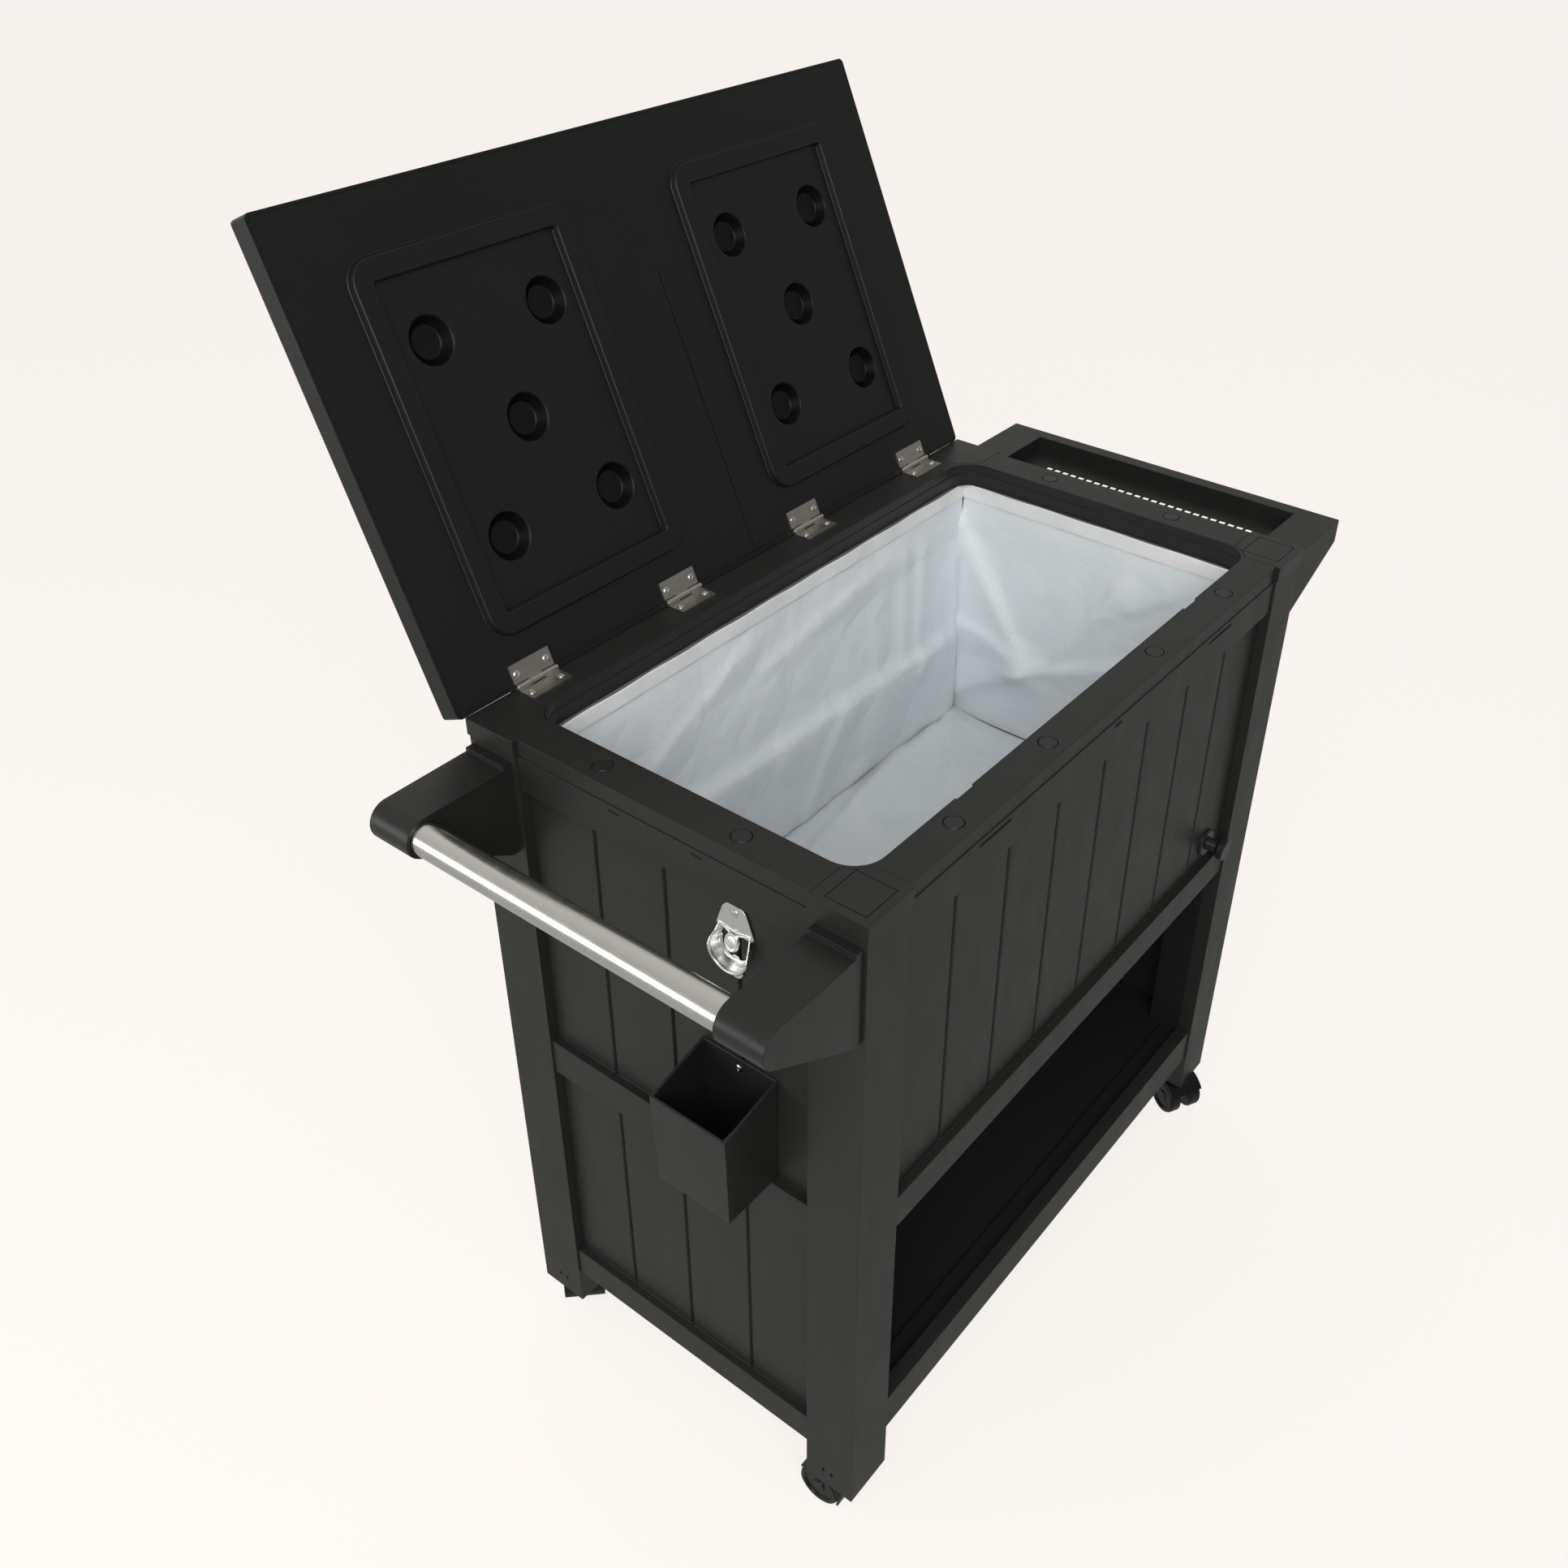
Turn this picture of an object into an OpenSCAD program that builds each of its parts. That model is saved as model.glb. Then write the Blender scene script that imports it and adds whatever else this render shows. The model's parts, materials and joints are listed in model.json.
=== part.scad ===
// Portable patio bar: an insulated, fabric-lined cooler tub on a plank-sided cart with a
// hinged lid, a towel-bar handle, a side tray, a bottle opener and four twin-wheel casters.
// Millimetres. X runs left to right, Y front to back, Z up from the floor under the wheels.
// The lid is drawn open against its stop.

/* [Body] */
// Width over the corner caps
body_w = 800; // [720:1:960]
// Depth over the corner caps
body_d = 460; // [420:1:540]
// Height of the body from the foot of the posts to the top of the rim
body_h = 800; // [760:1:880]
// Side of the square corner posts
post_w = 60; // [52:1:62]
// Wall of the hollow posts
post_wall = 3; // [2:0.5:4]
// How far the corner caps stand proud of the posts
cap_proud = 1.5; // [0.5:0.5:3]
// Height of the corner caps and of the rim's outer fascia
cap_h = 18; // [14:1:24]

/* [Panels] */
// Spacing of the plank grooves
plank_pitch = 85; // [70:1:100]
// Width of a plank groove
groove_w = 5; // [3:0.5:8]
// Depth of a plank groove
groove_depth = 3.5; // [2:0.5:4]
// Distance of the panel rails behind the face of the caps
rail_set = 4; // [2:0.5:6]
// Depth of the plank field behind the rails
field_set = 9; // [6:0.5:11]
// Thickness of a panel at its rails
panel_t = 17; // [16:0.5:19]
// Height of the top rail of every panel
top_rail_h = 39; // [30:1:50]
// Height of the lower rail of the front and rear panels
front_rail_h = 41; // [34:1:50]
// Height of the middle rail of the end panels
mid_rail_h = 44; // [34:1:54]
// Height of the bottom rail of the end panels
foot_rail_h = 40; // [30:1:50]
// Distance of the long catch slots from the middle of the front and rear panels
catch_x = 212; // [150:1:280]
// Distance of the catch slots from the middle of the end panels
catch_y = 48; // [30:1:100]
// Length of the long catch slots
catch_l = 50; // [20:1:70]
// Height of the open bay's ceiling above the foot of the posts
bay_top = 380; // [340:1:420]
// Height of the end panels' lower edge above the foot of the posts
end_foot = 50; // [40:1:60]

/* [Rim] */
// Setback of the rim's outer face from the caps
rim_set = 5; // [3:0.5:7]
// Margin from the cap face to the tub opening at the two ends
open_margin_x = 46; // [42:1:52]
// Margin from the cap face to the tub opening at front and back
open_margin_y = 42; // [40:1:48]
// Corner radius of the tub opening
open_r = 32; // [24:1:36]
// Thickness of the rim's top deck
rim_deck = 6; // [4:0.5:9]
// Depth of the skirt that lines the opening
skirt_h = 28; // [22:1:34]
// Thickness of the fascia and the skirt
rim_wall = 4; // [3:0.5:5]
// Radius of the round cover plugs
plug_r = 9; // [6:0.5:10]
// Distance of the inner front plugs from the middle of the cart
plug_near_x = 100; // [60:1:140]
// Distance of the outer front plugs from the middle of the cart
plug_far_x = 250; // [190:1:300]
// Distance of the end plugs from the middle of the cart
plug_near_y = 80; // [40:1:120]
// Distance of the finger reliefs from the middle of the cart
relief_x = 208; // [150:1:280]
// Width of a finger relief
relief_w = 26; // [15:1:40]

/* [Tub] */
// Gap from the cap face to the inside of the liner at the two ends
liner_margin_x = 48; // [47:0.5:54]
// Gap from the cap face to the inside of the liner at front and back
liner_margin_y = 44; // [43:0.5:50]
// Thickness of the quilted liner
liner_t = 3; // [2:0.5:4]
// Height of the liner's floor above the foot of the posts
tub_z = 440; // [426:1:470]
// Thickness of the board that carries the tub
tub_board_t = 12; // [8:1:16]
// Height of the tub board's underside above the bay's ceiling edge
tub_board_up = 10; // [8:1:14]

/* [Shelf] */
// Height of the shelf's surface above the foot of the posts
shelf_z = 95; // [84:1:110]
// Thickness of the shelf
shelf_t = 12; // [8:1:16]
// Height of the shelf's front and rear rails
shelf_rail_h = 50; // [44:1:60]
// How far the shelf rails stand above the shelf
shelf_lip = 10; // [6:1:16]
// Spacing of the shelf's board seams
seam_pitch = 92; // [70:1:110]
// Width of the ledges that carry the shelf and the tub board
ledge_w = 10; // [8:1:14]
// Height of those ledges
ledge_h = 8; // [6:1:8]

/* [Lid] */
// Width of the lid
lid_w = 804; // [730:1:980]
// Offset of the lid and its hinges towards the handle
lid_shift = 7; // [0:0.5:8]
// Reach of the lid from the hinge line to its front edge
lid_reach = 461; // [420:1:540]
// Thickness of the lid
lid_t = 26; // [22:1:32]
// Wall of the lid's outer shell
lid_wall = 3; // [2:0.5:4]
// Thickness of the lid's inner panel
lid_skin = 2.5; // [2:0.5:3.5]
// Opening angle at which the lid rests on its stop
lid_open = 114; // [100:1:118]
// Chamfer round the lid's upper edge
lid_chamfer = 3; // [2:0.5:9]
// Outer size across the lid of each raised frame
frame_w = 262; // [220:1:300]
// Outer size along the lid of each raised frame
frame_l = 357; // [300:1:370]
// Distance of each raised frame's centre from the lid's centre line
frame_x = 204; // [170:1:210]
// Distance of the frames' centre from the hinge line
frame_u = 224.5; // [205:0.5:245]
// Width of the raised frames' ridge at its foot
ridge_w = 24; // [16:1:30]
// Height of the ridge
ridge_h = 7; // [4:0.5:9]
// Outer corner radius of the raised frames
frame_r = 26; // [25:1:40]
// Rim radius of the round dimples
dimple_r = 24; // [18:1:28]
// Floor radius of the round dimples
dimple_floor_r = 15; // [8:1:16]
// Depth of the round dimples
dimple_depth = 10; // [6:1:14]
// Offset of the outer dimples across the lid
dimple_dx = 70; // [55:1:75]
// Offset of the outer dimples along the lid
dimple_du = 94; // [70:1:105]

/* [Hinges] */
// Length of a hinge along its pin
hinge_l = 50; // [40:1:60]
// Width of a hinge leaf from the pin
leaf_w = 22; // [18:1:26]
// Thickness of the hinge leaves
leaf_t = 1.5; // [1:0.1:1.6]
// Radius of the hinge knuckles
knuckle_r = 3; // [2.6:0.1:3.6]
// Radius of the hinge pins
hinge_pin_r = 1.5; // [1:0.1:1.8]
// Setback of the hinge line from the rear face of the caps
hinge_set = 5; // [4:0.5:8]
// Distance of the outer hinges from the ends of the caps, before the lid's offset
hinge_in = 92.5; // [92:0.5:120]
// Distance of the hinge screws from the hinge's middle
hinge_screw_x = 18.5; // [14:0.5:20]

/* [Handle] */
// Diameter of the handle bar
bar_d = 32; // [25:1:34]
// Wall of the handle bar
bar_wall = 1.2; // [1:0.1:2]
// Distance of the bar's axis from the face of the caps
bar_reach = 101; // [85:1:120]
// Depth of the bar's axis below the top of the brackets
bar_sink = 24; // [21:1:40]
// Width of each handle bracket
bracket_w = 50; // [40:1:54]
// Distance of the bracket's outer side from the face of the caps
bracket_set = 5; // [3:1:8]
// Gap between the rim's fascia and the top of the brackets
bracket_drop = 8; // [4:1:16]
// Height of the bracket's foot plate
bracket_h = 102; // [80:1:130]
// How far the bracket's foot plate stands out from the face of the caps
bracket_plate = 8; // [4:1:14]
// Plastic round the bar in the bracket's nose
nose_wall = 4; // [3:0.5:6]
// Depth of the bar's sockets in the brackets
bar_socket = 42; // [20:1:46]

/* [Side tray] */
// Reach of the tray from the face of the caps
tray_reach = 125; // [100:1:160]
// Height of the tray's outer edge
tray_edge_h = 28; // [24:1:40]
// Height of the tray where it meets the posts
tray_root_h = 87; // [70:1:110]
// Setback of the tray's ends from the face of the caps
tray_set = 9; // [5:1:14]
// Wall of the tray moulding
tray_wall = 4; // [3:0.5:5]
// Width of the border round the recess, at its ends
recess_end = 48; // [40:1:60]
// Width of the border outside the recess
recess_side = 18; // [14:1:26]
// Depth of the recess
recess_depth = 20; // [16:1:22]
// Spacing of the drain slots
slot_pitch = 11.3; // [10:0.1:16]
// Length of a drain slot across the tray
slot_l = 7; // [4:0.5:10]
// Width of a drain slot
slot_w = 8; // [3:0.5:8]
// Thickness of the recess's floor
recess_floor = 2; // [1.5:0.5:4]

/* [Fittings] */
// Distance of the bottle opener's centre from the front face of the caps
opener_y = 147.5; // [110:0.5:230]
// Depth of the opener's upper screw below the top of the rim
opener_down = 73; // [65:1:100]
// Thickness of the opener's steel
opener_t = 2.2; // [1.5:0.1:3]
// Gap between the end panels' middle rail and the foot of the cap catcher
catcher_gap = 2; // [1:1:30]
// How far the front edge of the cap catcher's mouth lies below its back edge
catcher_dip = 18; // [6:1:40]
// Width of the cap catcher at its rim
catcher_w = 90; // [70:1:110]
// Depth of the cap catcher at its rim
catcher_d = 74; // [50:1:90]
// Height of the cap catcher's back
catcher_h = 129; // [90:1:130]
// Wall of the cap catcher
catcher_wall = 2.5; // [2:0.5:4]
// Height of the drain above the liner's floor
drain_up = 7; // [6.5:0.1:16]
// Distance of the drain from the right-hand face of the caps
drain_in = 105; // [90:1:130]
// Radius of the drain's flange
drain_flange_r = 17; // [14:0.5:20]
// Outer radius of the drain tube
drain_tube_r = 6; // [5:0.1:6.4]
// Bore of the drain tube, as a radius
drain_bore_r = 4.5; // [3:0.1:4.6]
// Radius of the drain's knob
knob_r = 13; // [9:0.5:16]

/* [Casters] */
// Radius of a caster wheel
wheel_r = 25; // [20:0.5:27]
// Width of one wheel of a twin caster
wheel_w = 16.5; // [12:0.5:18]
// Height of the wheel's axle below the foot of the post
axle_drop = 30; // [29.5:0.5:36]
// Trail of the axle behind the swivel stem
trail = 19; // [16:0.5:22]
// Radius of the swivel stem
stem_r = 5.5; // [4:0.1:5.8]
// Length of the stem inside the post
stem_l = 36; // [26:1:44]
// Radius of the wheel axle
axle_r = 3; // [2:0.1:4]
// Heading of the front left caster's wheels
heading_fl = 90; // [-180:1:180]
// Heading of the front right caster's wheels
heading_fr = -118; // [-180:1:180]
// Heading of the rear left caster's wheels
heading_bl = 45; // [-180:1:180]
// Heading of the rear right caster's wheels
heading_br = 60; // [-180:1:180]

/* [Hidden] */
$fn = 64;
eps = 0.01;

// Fits and gaps
seat_gap = 0.3;
run_gap = 0.05;
screw_gap = 0.15;
knuckle_gap = 0.2;
wheel_gap = 0.5;

// Main planes: outer faces of the caps, and heights from the floor
hx = body_w / 2;
hy = body_d / 2;
foot = axle_drop + wheel_r;
rim_top = foot + body_h;
cap_under = rim_top - cap_h;
skirt_under = rim_top - skirt_h;

// Posts
post_face_x = hx - cap_proud;
post_face_y = hy - cap_proud;
post_in_x = post_face_x - post_w;
post_in_y = post_face_y - post_w;
post_h = body_h - cap_h;
cap_over = 0.5;
cap_size = cap_proud + post_w + cap_over;
foot_plate = 5;
vent_z = 22.5;
vent_r = 1.5;
socket_r = stem_r + 2.5;
boss_r = socket_r + 3.5;
notch_z = bay_top + tub_board_up + tub_board_t;
notch_back = 5;

// Panels
span_x = 2 * post_in_x;
span_y = 2 * post_in_y;
front_face = hy - rail_set;
end_face = hx - rail_set;
front_field = front_face - field_set;
end_field = end_face - field_set;
front_back = front_face - panel_t;
end_back = end_face - panel_t;
front_h = body_h - cap_h - bay_top;
end_h = body_h - cap_h - end_foot;

catch_short = 12;
catch_h = 3;
catch_depth = 2;
catch_drop = 5;

// Tub
liner_in_x = hx - liner_margin_x;
liner_in_y = hy - liner_margin_y;
liner_out_x = liner_in_x + liner_t;
liner_out_y = liner_in_y + liner_t;
liner_top = skirt_under - seat_gap;
liner_r = 10;
tub_floor = foot + tub_z;
board_under = foot + bay_top + tub_board_up;
board_top = board_under + tub_board_t;
foam_top = skirt_under - 2;

// Rim: the opening, the plugs in the middle of the deck, the reliefs and the line in the skirt
open_x = hx - open_margin_x;
open_y = hy - open_margin_y;
plug_x = hx - (rim_set + open_margin_x) / 2;
plug_y = hy - (rim_set + open_margin_y) / 2;
plug_gap = 0.5;
plug_seat = 3;
relief_cut = 2;
relief_depth = 4;
skirt_line_drop = 12;
skirt_line_h = 1.2;
skirt_line_cut = 0.8;

// Lid: u runs from the hinge line to the front edge, w up from the hinge axis when closed
hinge_y = hy - hinge_set;
hinge_lift = knuckle_r + seat_gap;
hinge_z = rim_top + hinge_lift;
lid_in = hinge_lift;
stop_u = -hinge_set * cos(lid_open) - hinge_lift * sin(lid_open);
lid_back = stop_u + seat_gap;
lid_corner_r = 6;
lid_lip = 4;
heel_reach = 5;
heel_side = 1.5;
mould_line_x = 16;
mould_line_w = 1.2;
mould_line_cut = 0.8;
mould_line_part = 2 / 3;
hinge_count = 4;
hinge_pitch = 2 * (hx - hinge_in) / (hinge_count - 1);
hinge_screw_r = 1.6;
hinge_head_r = 3.6;
hinge_screw_l = 9;
hinge_screw_u = 12;
third = hinge_l / 3;

// Handle and tray
bar_r = bar_d / 2;
nose_r = bar_r + nose_wall;
bar_x = -hx - bar_reach;
bracket_top = cap_under - bracket_drop;
bar_z = bracket_top - bar_sink;
bracket_in = hy - bracket_set - bracket_w;
tray_top = cap_under;
tray_back_x = post_face_x;
tray_out_x = hx + tray_reach;
tray_y = hy - tray_set;
well_margin = 8;
rib_in = 46;
slot_in = 35;

// Fittings
fit_y = opener_y - hy;
opener_z = body_h - opener_down;
catcher_z = bay_top + mid_rail_h + catcher_gap + catcher_h;
panel_skin_x = -end_field;
drain_x = hx - drain_in;
drain_z = tub_floor + drain_up;
knob_reach = 28;
knob_front = front_field + knob_reach;
flange_t = 4;
plug_l = 14;
fitting_screw_r = 2;
fitting_head_r = 4;
fitting_screw_l = 9;
opener_screw_drop = 66;
catcher_screw_down = 12;
catcher_taper = 2;
catcher_rake = 4;

// Casters: the wheels' inner faces stand off the web of the hood
web_half = 7;
wheel_in = web_half + wheel_gap;
wheel_out = wheel_in + wheel_w;
hood_gap = 0.8;
hood_r = axle_drop - 1.5;
hood_open = 33.7;
stem_x = post_face_x - post_w / 2;
stem_y = post_face_y - post_w / 2;
casters = [[-1, -1, heading_fl], [1, -1, heading_fr], [-1, 1, heading_bl], [1, 1, heading_br]];

// Rounded outer edge of a wheel, and the two ends of the hood, each as [out from the axle, along it]
wheel_edge = [[wheel_r, wheel_out - 3], [wheel_r - 1, wheel_out - 1], [wheel_r - 3, wheel_out]];
hood_ends = [[hood_r * cos(hood_open), wheel_out], [-hood_r, wheel_out]];

// Lowest Y that one caster reaches, and the whole cart's extent at rest
function caster_low_y(c) = c[1] * stem_y + trail * sin(c[2]) - max([
    for (p = wheel_edge) p[0] * abs(sin(c[2])) + p[1] * abs(cos(c[2])),
    for (p = hood_ends) p[1] * abs(cos(c[2])) - p[0] * sin(c[2])]);
function lid_point_y(u, w) = hinge_y - u * cos(lid_open) + w * sin(lid_open);
low_y = min([-knob_front, -hy, for (c = casters) caster_low_y(c)]);
high_y = max(lid_point_y(lid_reach, lid_in + lid_t - lid_chamfer),
             lid_point_y(lid_reach - lid_chamfer, lid_in + lid_t));
low_x = bar_x - nose_r;
high_x = tray_out_x;
mid_x = (low_x + high_x) / 2;
mid_y = (low_y + high_y) / 2;

// Colours
black = [0.09, 0.09, 0.09];
deep_black = [0.06, 0.06, 0.06];
steel = [0.75, 0.74, 0.71];
bright = [0.85, 0.85, 0.85];
foam_grey = [0.55, 0.57, 0.58];
cloth = [0.86, 0.89, 0.91];

// Puts the middle of the cart's footprint at the origin, on the floor
module placed() {
    translate([-mid_x, -mid_y, 0]) children();
}

// Mirrors the front left corner's shape to the corner with these signs
module at_corner(sx, sy) {
    mirror([sx > 0 ? 1 : 0, 0, 0]) mirror([0, sy > 0 ? 1 : 0, 0]) children();
}

// Rectangle with round corners, centred
module rounded_rect(w, d, r) {
    square([w - 2 * r, d], center = true);
    square([w, d - 2 * r], center = true);
    for (x = [-1, 1], y = [-1, 1])
        translate([x * (w / 2 - r), y * (d / 2 - r)]) circle(r);
}

// Outline of the tub opening, grown outwards
module opening_outline(grow) {
    rounded_rect(2 * (open_x + grow), 2 * (open_y + grow), open_r + grow);
}

// Hollow corner post: a closed tube below the tub, open towards the tub's corner above it
module post(sx, sy) {
    notch_x = hx - liner_out_x - notch_back - cap_proud;
    notch_y = hy - liner_out_y - notch_back - cap_proud;
    hollow = post_w - 2 * post_wall;
    at_corner(sx, sy) translate([-post_face_x, -post_face_y, foot]) difference() {
        union() {
            difference() {
                cube([post_w, post_w, post_h]);
                translate([post_wall, post_wall, foot_plate]) cube([hollow, hollow, post_h]);
            }
            translate([post_w / 2, post_w / 2, 0]) cylinder(r = boss_r, h = stem_l + foot_plate);
        }
        translate([notch_x, notch_y, notch_z]) cube([post_w, post_w, post_h]);
        translate([post_w / 2, post_w / 2, -1])
            cylinder(r = socket_r + screw_gap, h = stem_l + foot_plate + 2);
        for (y = [0.44, 0.62]) translate([-1, post_w * y, vent_z])
            rotate([0, 90, 0]) vent_slot(post_wall + 2);
    }
}

// Small upright oval hole near the foot of a post
module vent_slot(depth) {
    for (x = [-vent_r, vent_r]) translate([x, 0, 0]) cylinder(r = vent_r, h = depth, $fn = 24);
    translate([-vent_r, -vent_r, 0]) cube([2 * vent_r, 2 * vent_r, depth]);
}

// Corner cap, cut away round the tub opening; the front ones have an engraved square
module cap(sx, sy) {
    line_in = 8;
    line_out = cap_size - 12;
    at_corner(sx, sy) difference() {
        translate([-hx, -hy, cap_under]) cube([cap_size, cap_size, cap_h]);
        translate([0, 0, cap_under - 1]) linear_extrude(cap_h + 2)
            opening_outline(rim_wall + seat_gap);
        if (sy < 0) translate([-hx + line_in, -hy + line_in, rim_top - 0.8]) difference() {
            cube([line_out - line_in, line_out - line_in, 2]);
            translate([1, 1, -1]) cube([line_out - line_in - 2, line_out - line_in - 2, 4]);
        }
    }
}

// Top rim: deck, fascia and the skirt that lines the tub opening
module rim_frame() {
    out_x = hx - rim_set;
    out_y = hy - rim_set;
    color(black) placed() difference() {
        union() {
            difference() {
                translate([-out_x, -out_y, cap_under]) cube([2 * out_x, 2 * out_y, cap_h]);
                translate([-out_x + rim_wall, -out_y + rim_wall, cap_under - 1])
                    cube([2 * (out_x - rim_wall), 2 * (out_y - rim_wall), cap_h + 1 - rim_deck]);
                for (x = [-1, 1], y = [-1, 1]) at_corner(x, y)
                    translate([-hx - 1, -hy - 1, cap_under - 1])
                        cube([cap_size + 1, cap_size + 1, cap_h + 2]);
            }
            translate([0, 0, skirt_under]) linear_extrude(skirt_h) opening_outline(rim_wall);
        }
        translate([0, 0, skirt_under - 1]) linear_extrude(skirt_h + 2) opening_outline(0);
        rim_relief();
        plug_places() translate([0, 0, -plug_seat]) cylinder(r = plug_r + plug_gap, h = plug_seat + 1);
        translate([-lid_shift, 0, 0]) hinge_places() hinge_screw_places(-1)
            translate([0, 0, -12]) cylinder(r = hinge_screw_r + screw_gap, h = 14, $fn = 24);
    }
}

// Shallow finger reliefs in the front edge of the opening, and the line round its skirt
module rim_relief() {
    for (s = [-1, 1])
        translate([s * relief_x - relief_w / 2, -open_y - relief_cut, rim_top - relief_depth])
            cube([relief_w, relief_cut + 1, relief_depth + 1]);
    translate([0, 0, rim_top - skirt_line_drop]) linear_extrude(skirt_line_h)
        opening_outline(skirt_line_cut);
}

// Centres of the round plugs on the rim's top
module plug_places() {
    for (s = [-1, 1], x = [plug_near_x, plug_far_x]) translate([s * x, -plug_y, rim_top]) children();
    for (s = [-1, 1], y = [-plug_near_y, plug_near_y]) translate([s * plug_x, y, rim_top]) children();
}

// Flush plugs over the rim's screws
module rim_plugs() {
    color(deep_black) placed() plug_places() rotate_extrude()
        polygon([[0, -plug_seat], [plug_r, -plug_seat], [plug_r, -0.4], [plug_r - 0.6, 0.2], [0, 0.2]]);
}

// Board with rails and recessed plank fields: length on X, face at y = 0, back at panel_t
module plank_board(length, height, fields) {
    half = floor((length / 2 - plank_pitch / 4) / plank_pitch);
    difference() {
        translate([-length / 2, 0, 0]) cube([length, panel_t, height]);
        for (f = fields) translate([0, 0, f[0]]) {
            translate([-length / 2 - 1, -1, 0]) cube([length + 2, field_set + 1, f[1] - f[0]]);
            for (k = [-half:half]) translate([k * plank_pitch, field_set, 0]) linear_extrude(f[1] - f[0])
                polygon([[-groove_w / 2, -1], [-groove_w / 2, 0], [-groove_w / 4, groove_depth],
                         [groove_w / 4, groove_depth], [groove_w / 2, 0], [groove_w / 2, -1]]);
        }
    }
}

// Shallow slots near a panel's top edge, each given by its place along the panel and its length
module catch_slots(height, slots) {
    for (c = slots) translate([c[0] - c[1] / 2, -1, height - catch_drop - catch_h])
        cube([c[1], catch_depth + 1, catch_h]);
}

// Upper wall of the tub, front or rear, with the ledge that carries the tub board
module long_panel() {
    fields = [[front_rail_h, front_h - top_rail_h]];
    translate([0, -front_face, foot + bay_top]) {
        difference() {
            plank_board(span_x, front_h, fields);
            catch_slots(front_h, [[-catch_x, catch_l], [0, catch_short], [catch_x, catch_l]]);
        }
        translate([-span_x / 2, panel_t - eps, tub_board_up - ledge_h])
            cube([span_x, ledge_w + eps, ledge_h]);
    }
}

module front_panel() {
    color(black) placed() difference() {
        long_panel();
        translate([drain_x, -front_back + 1, drain_z]) rotate([90, 0, 0])
            cylinder(r = drain_tube_r + screw_gap, h = panel_t + 2);
    }
}

module rear_panel() {
    color(black) placed() mirror([0, 1, 0]) long_panel();
}

// Full-height end wall with two plank fields
module end_panel() {
    mid = bay_top - end_foot;
    fields = [[foot_rail_h, mid], [mid + mid_rail_h, end_h - top_rail_h]];
    translate([-end_face, 0, foot + end_foot]) rotate([0, 0, -90]) difference() {
        plank_board(span_y, end_h, fields);
        catch_slots(end_h, [[-catch_y, catch_short], [catch_y, catch_short]]);
    }
}

module left_panel() {
    color(black) placed() difference() {
        end_panel();
        opener_screw_places()
            cylinder(r = fitting_screw_r + screw_gap, h = 40, center = true, $fn = 24);
        catcher_screw_place()
            cylinder(r = fitting_screw_r + screw_gap, h = 40, center = true, $fn = 24);
    }
}

module right_panel() {
    color(black) placed() mirror([1, 0, 0]) end_panel();
}

// Board under the tub
module tub_board() {
    color(black) placed() translate([0, 0, board_under])
        floor_board(2 * end_back, 2 * front_back, tub_board_t);
}

// Flat board between the panels, notched round the four posts
module floor_board(w, d, t) {
    difference() {
        translate([-w / 2, -d / 2, 0]) cube([w, d, t]);
        for (x = [-1, 1], y = [-1, 1]) at_corner(x, y)
            translate([-hx, -hy, -1]) cube([hx - post_in_x, hy - post_in_y, t + 2]);
    }
}

// Insulation board behind the front or rear panel
module foam_long() {
    t = front_back - liner_out_y - seat_gap;
    translate([-post_in_x, -front_back, board_top]) cube([2 * post_in_x, t, foam_top - board_top]);
}

// Insulation board behind an end panel
module foam_short() {
    t = end_back - liner_out_x - seat_gap;
    translate([-end_back, -post_in_y, board_top]) cube([t, 2 * post_in_y, foam_top - board_top]);
}

module foam_front() {
    color(foam_grey) placed() difference() {
        foam_long();
        translate([drain_x, -liner_out_y + 5, drain_z]) rotate([90, 0, 0])
            cylinder(r = drain_tube_r + screw_gap, h = 60);
    }
}

module foam_rear() {
    color(foam_grey) placed() mirror([0, 1, 0]) foam_long();
}

module foam_left() {
    color(foam_grey) placed() foam_short();
}

module foam_right() {
    color(foam_grey) placed() mirror([1, 0, 0]) foam_short();
}

// Insulation under the liner, inside the four wall boards
module foam_floor() {
    h = tub_floor - liner_t - seat_gap - board_top;
    color(foam_grey) placed() translate([0, 0, board_top]) linear_extrude(h)
        square([2 * liner_out_x - 2 * liner_r, 2 * liner_out_y], center = true);
}

// Fabric liner: an open-topped bag under the rim's skirt
module liner() {
    h = liner_top - tub_floor;
    color(cloth) placed() difference() {
        translate([0, 0, tub_floor - liner_t]) linear_extrude(h + liner_t)
            rounded_rect(2 * liner_out_x, 2 * liner_out_y, liner_r);
        translate([0, 0, tub_floor]) linear_extrude(h + 1)
            rounded_rect(2 * liner_in_x, 2 * liner_in_y, liner_r - liner_t);
        translate([drain_x, -liner_in_y + 5, drain_z]) rotate([90, 0, 0])
            cylinder(r = drain_tube_r + seat_gap, h = 20);
    }
}

// Bottom shelf with seams between its boards
module shelf() {
    top = foot + shelf_z;
    half = floor((front_back - seam_pitch / 4) / seam_pitch);
    color(black) placed() difference() {
        translate([0, 0, top - shelf_t]) floor_board(2 * end_back, 2 * front_back, shelf_t);
        for (k = [-half:half]) translate([-hx, k * seam_pitch - 2, top - 3]) cube([body_w, 4, 4]);
    }
}

// Rail along the shelf's long edge, with the ledge that the shelf lies on
module shelf_rail() {
    top = foot + shelf_z;
    translate([-post_in_x, -front_face, top + shelf_lip - shelf_rail_h])
        cube([span_x, panel_t, shelf_rail_h]);
    translate([-post_in_x, -front_back - eps, top - shelf_t - ledge_h])
        cube([span_x, ledge_w + eps, ledge_h]);
}

module shelf_rail_front() {
    color(black) placed() shelf_rail();
}

module shelf_rail_rear() {
    color(black) placed() mirror([0, 1, 0]) shelf_rail();
}

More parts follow.
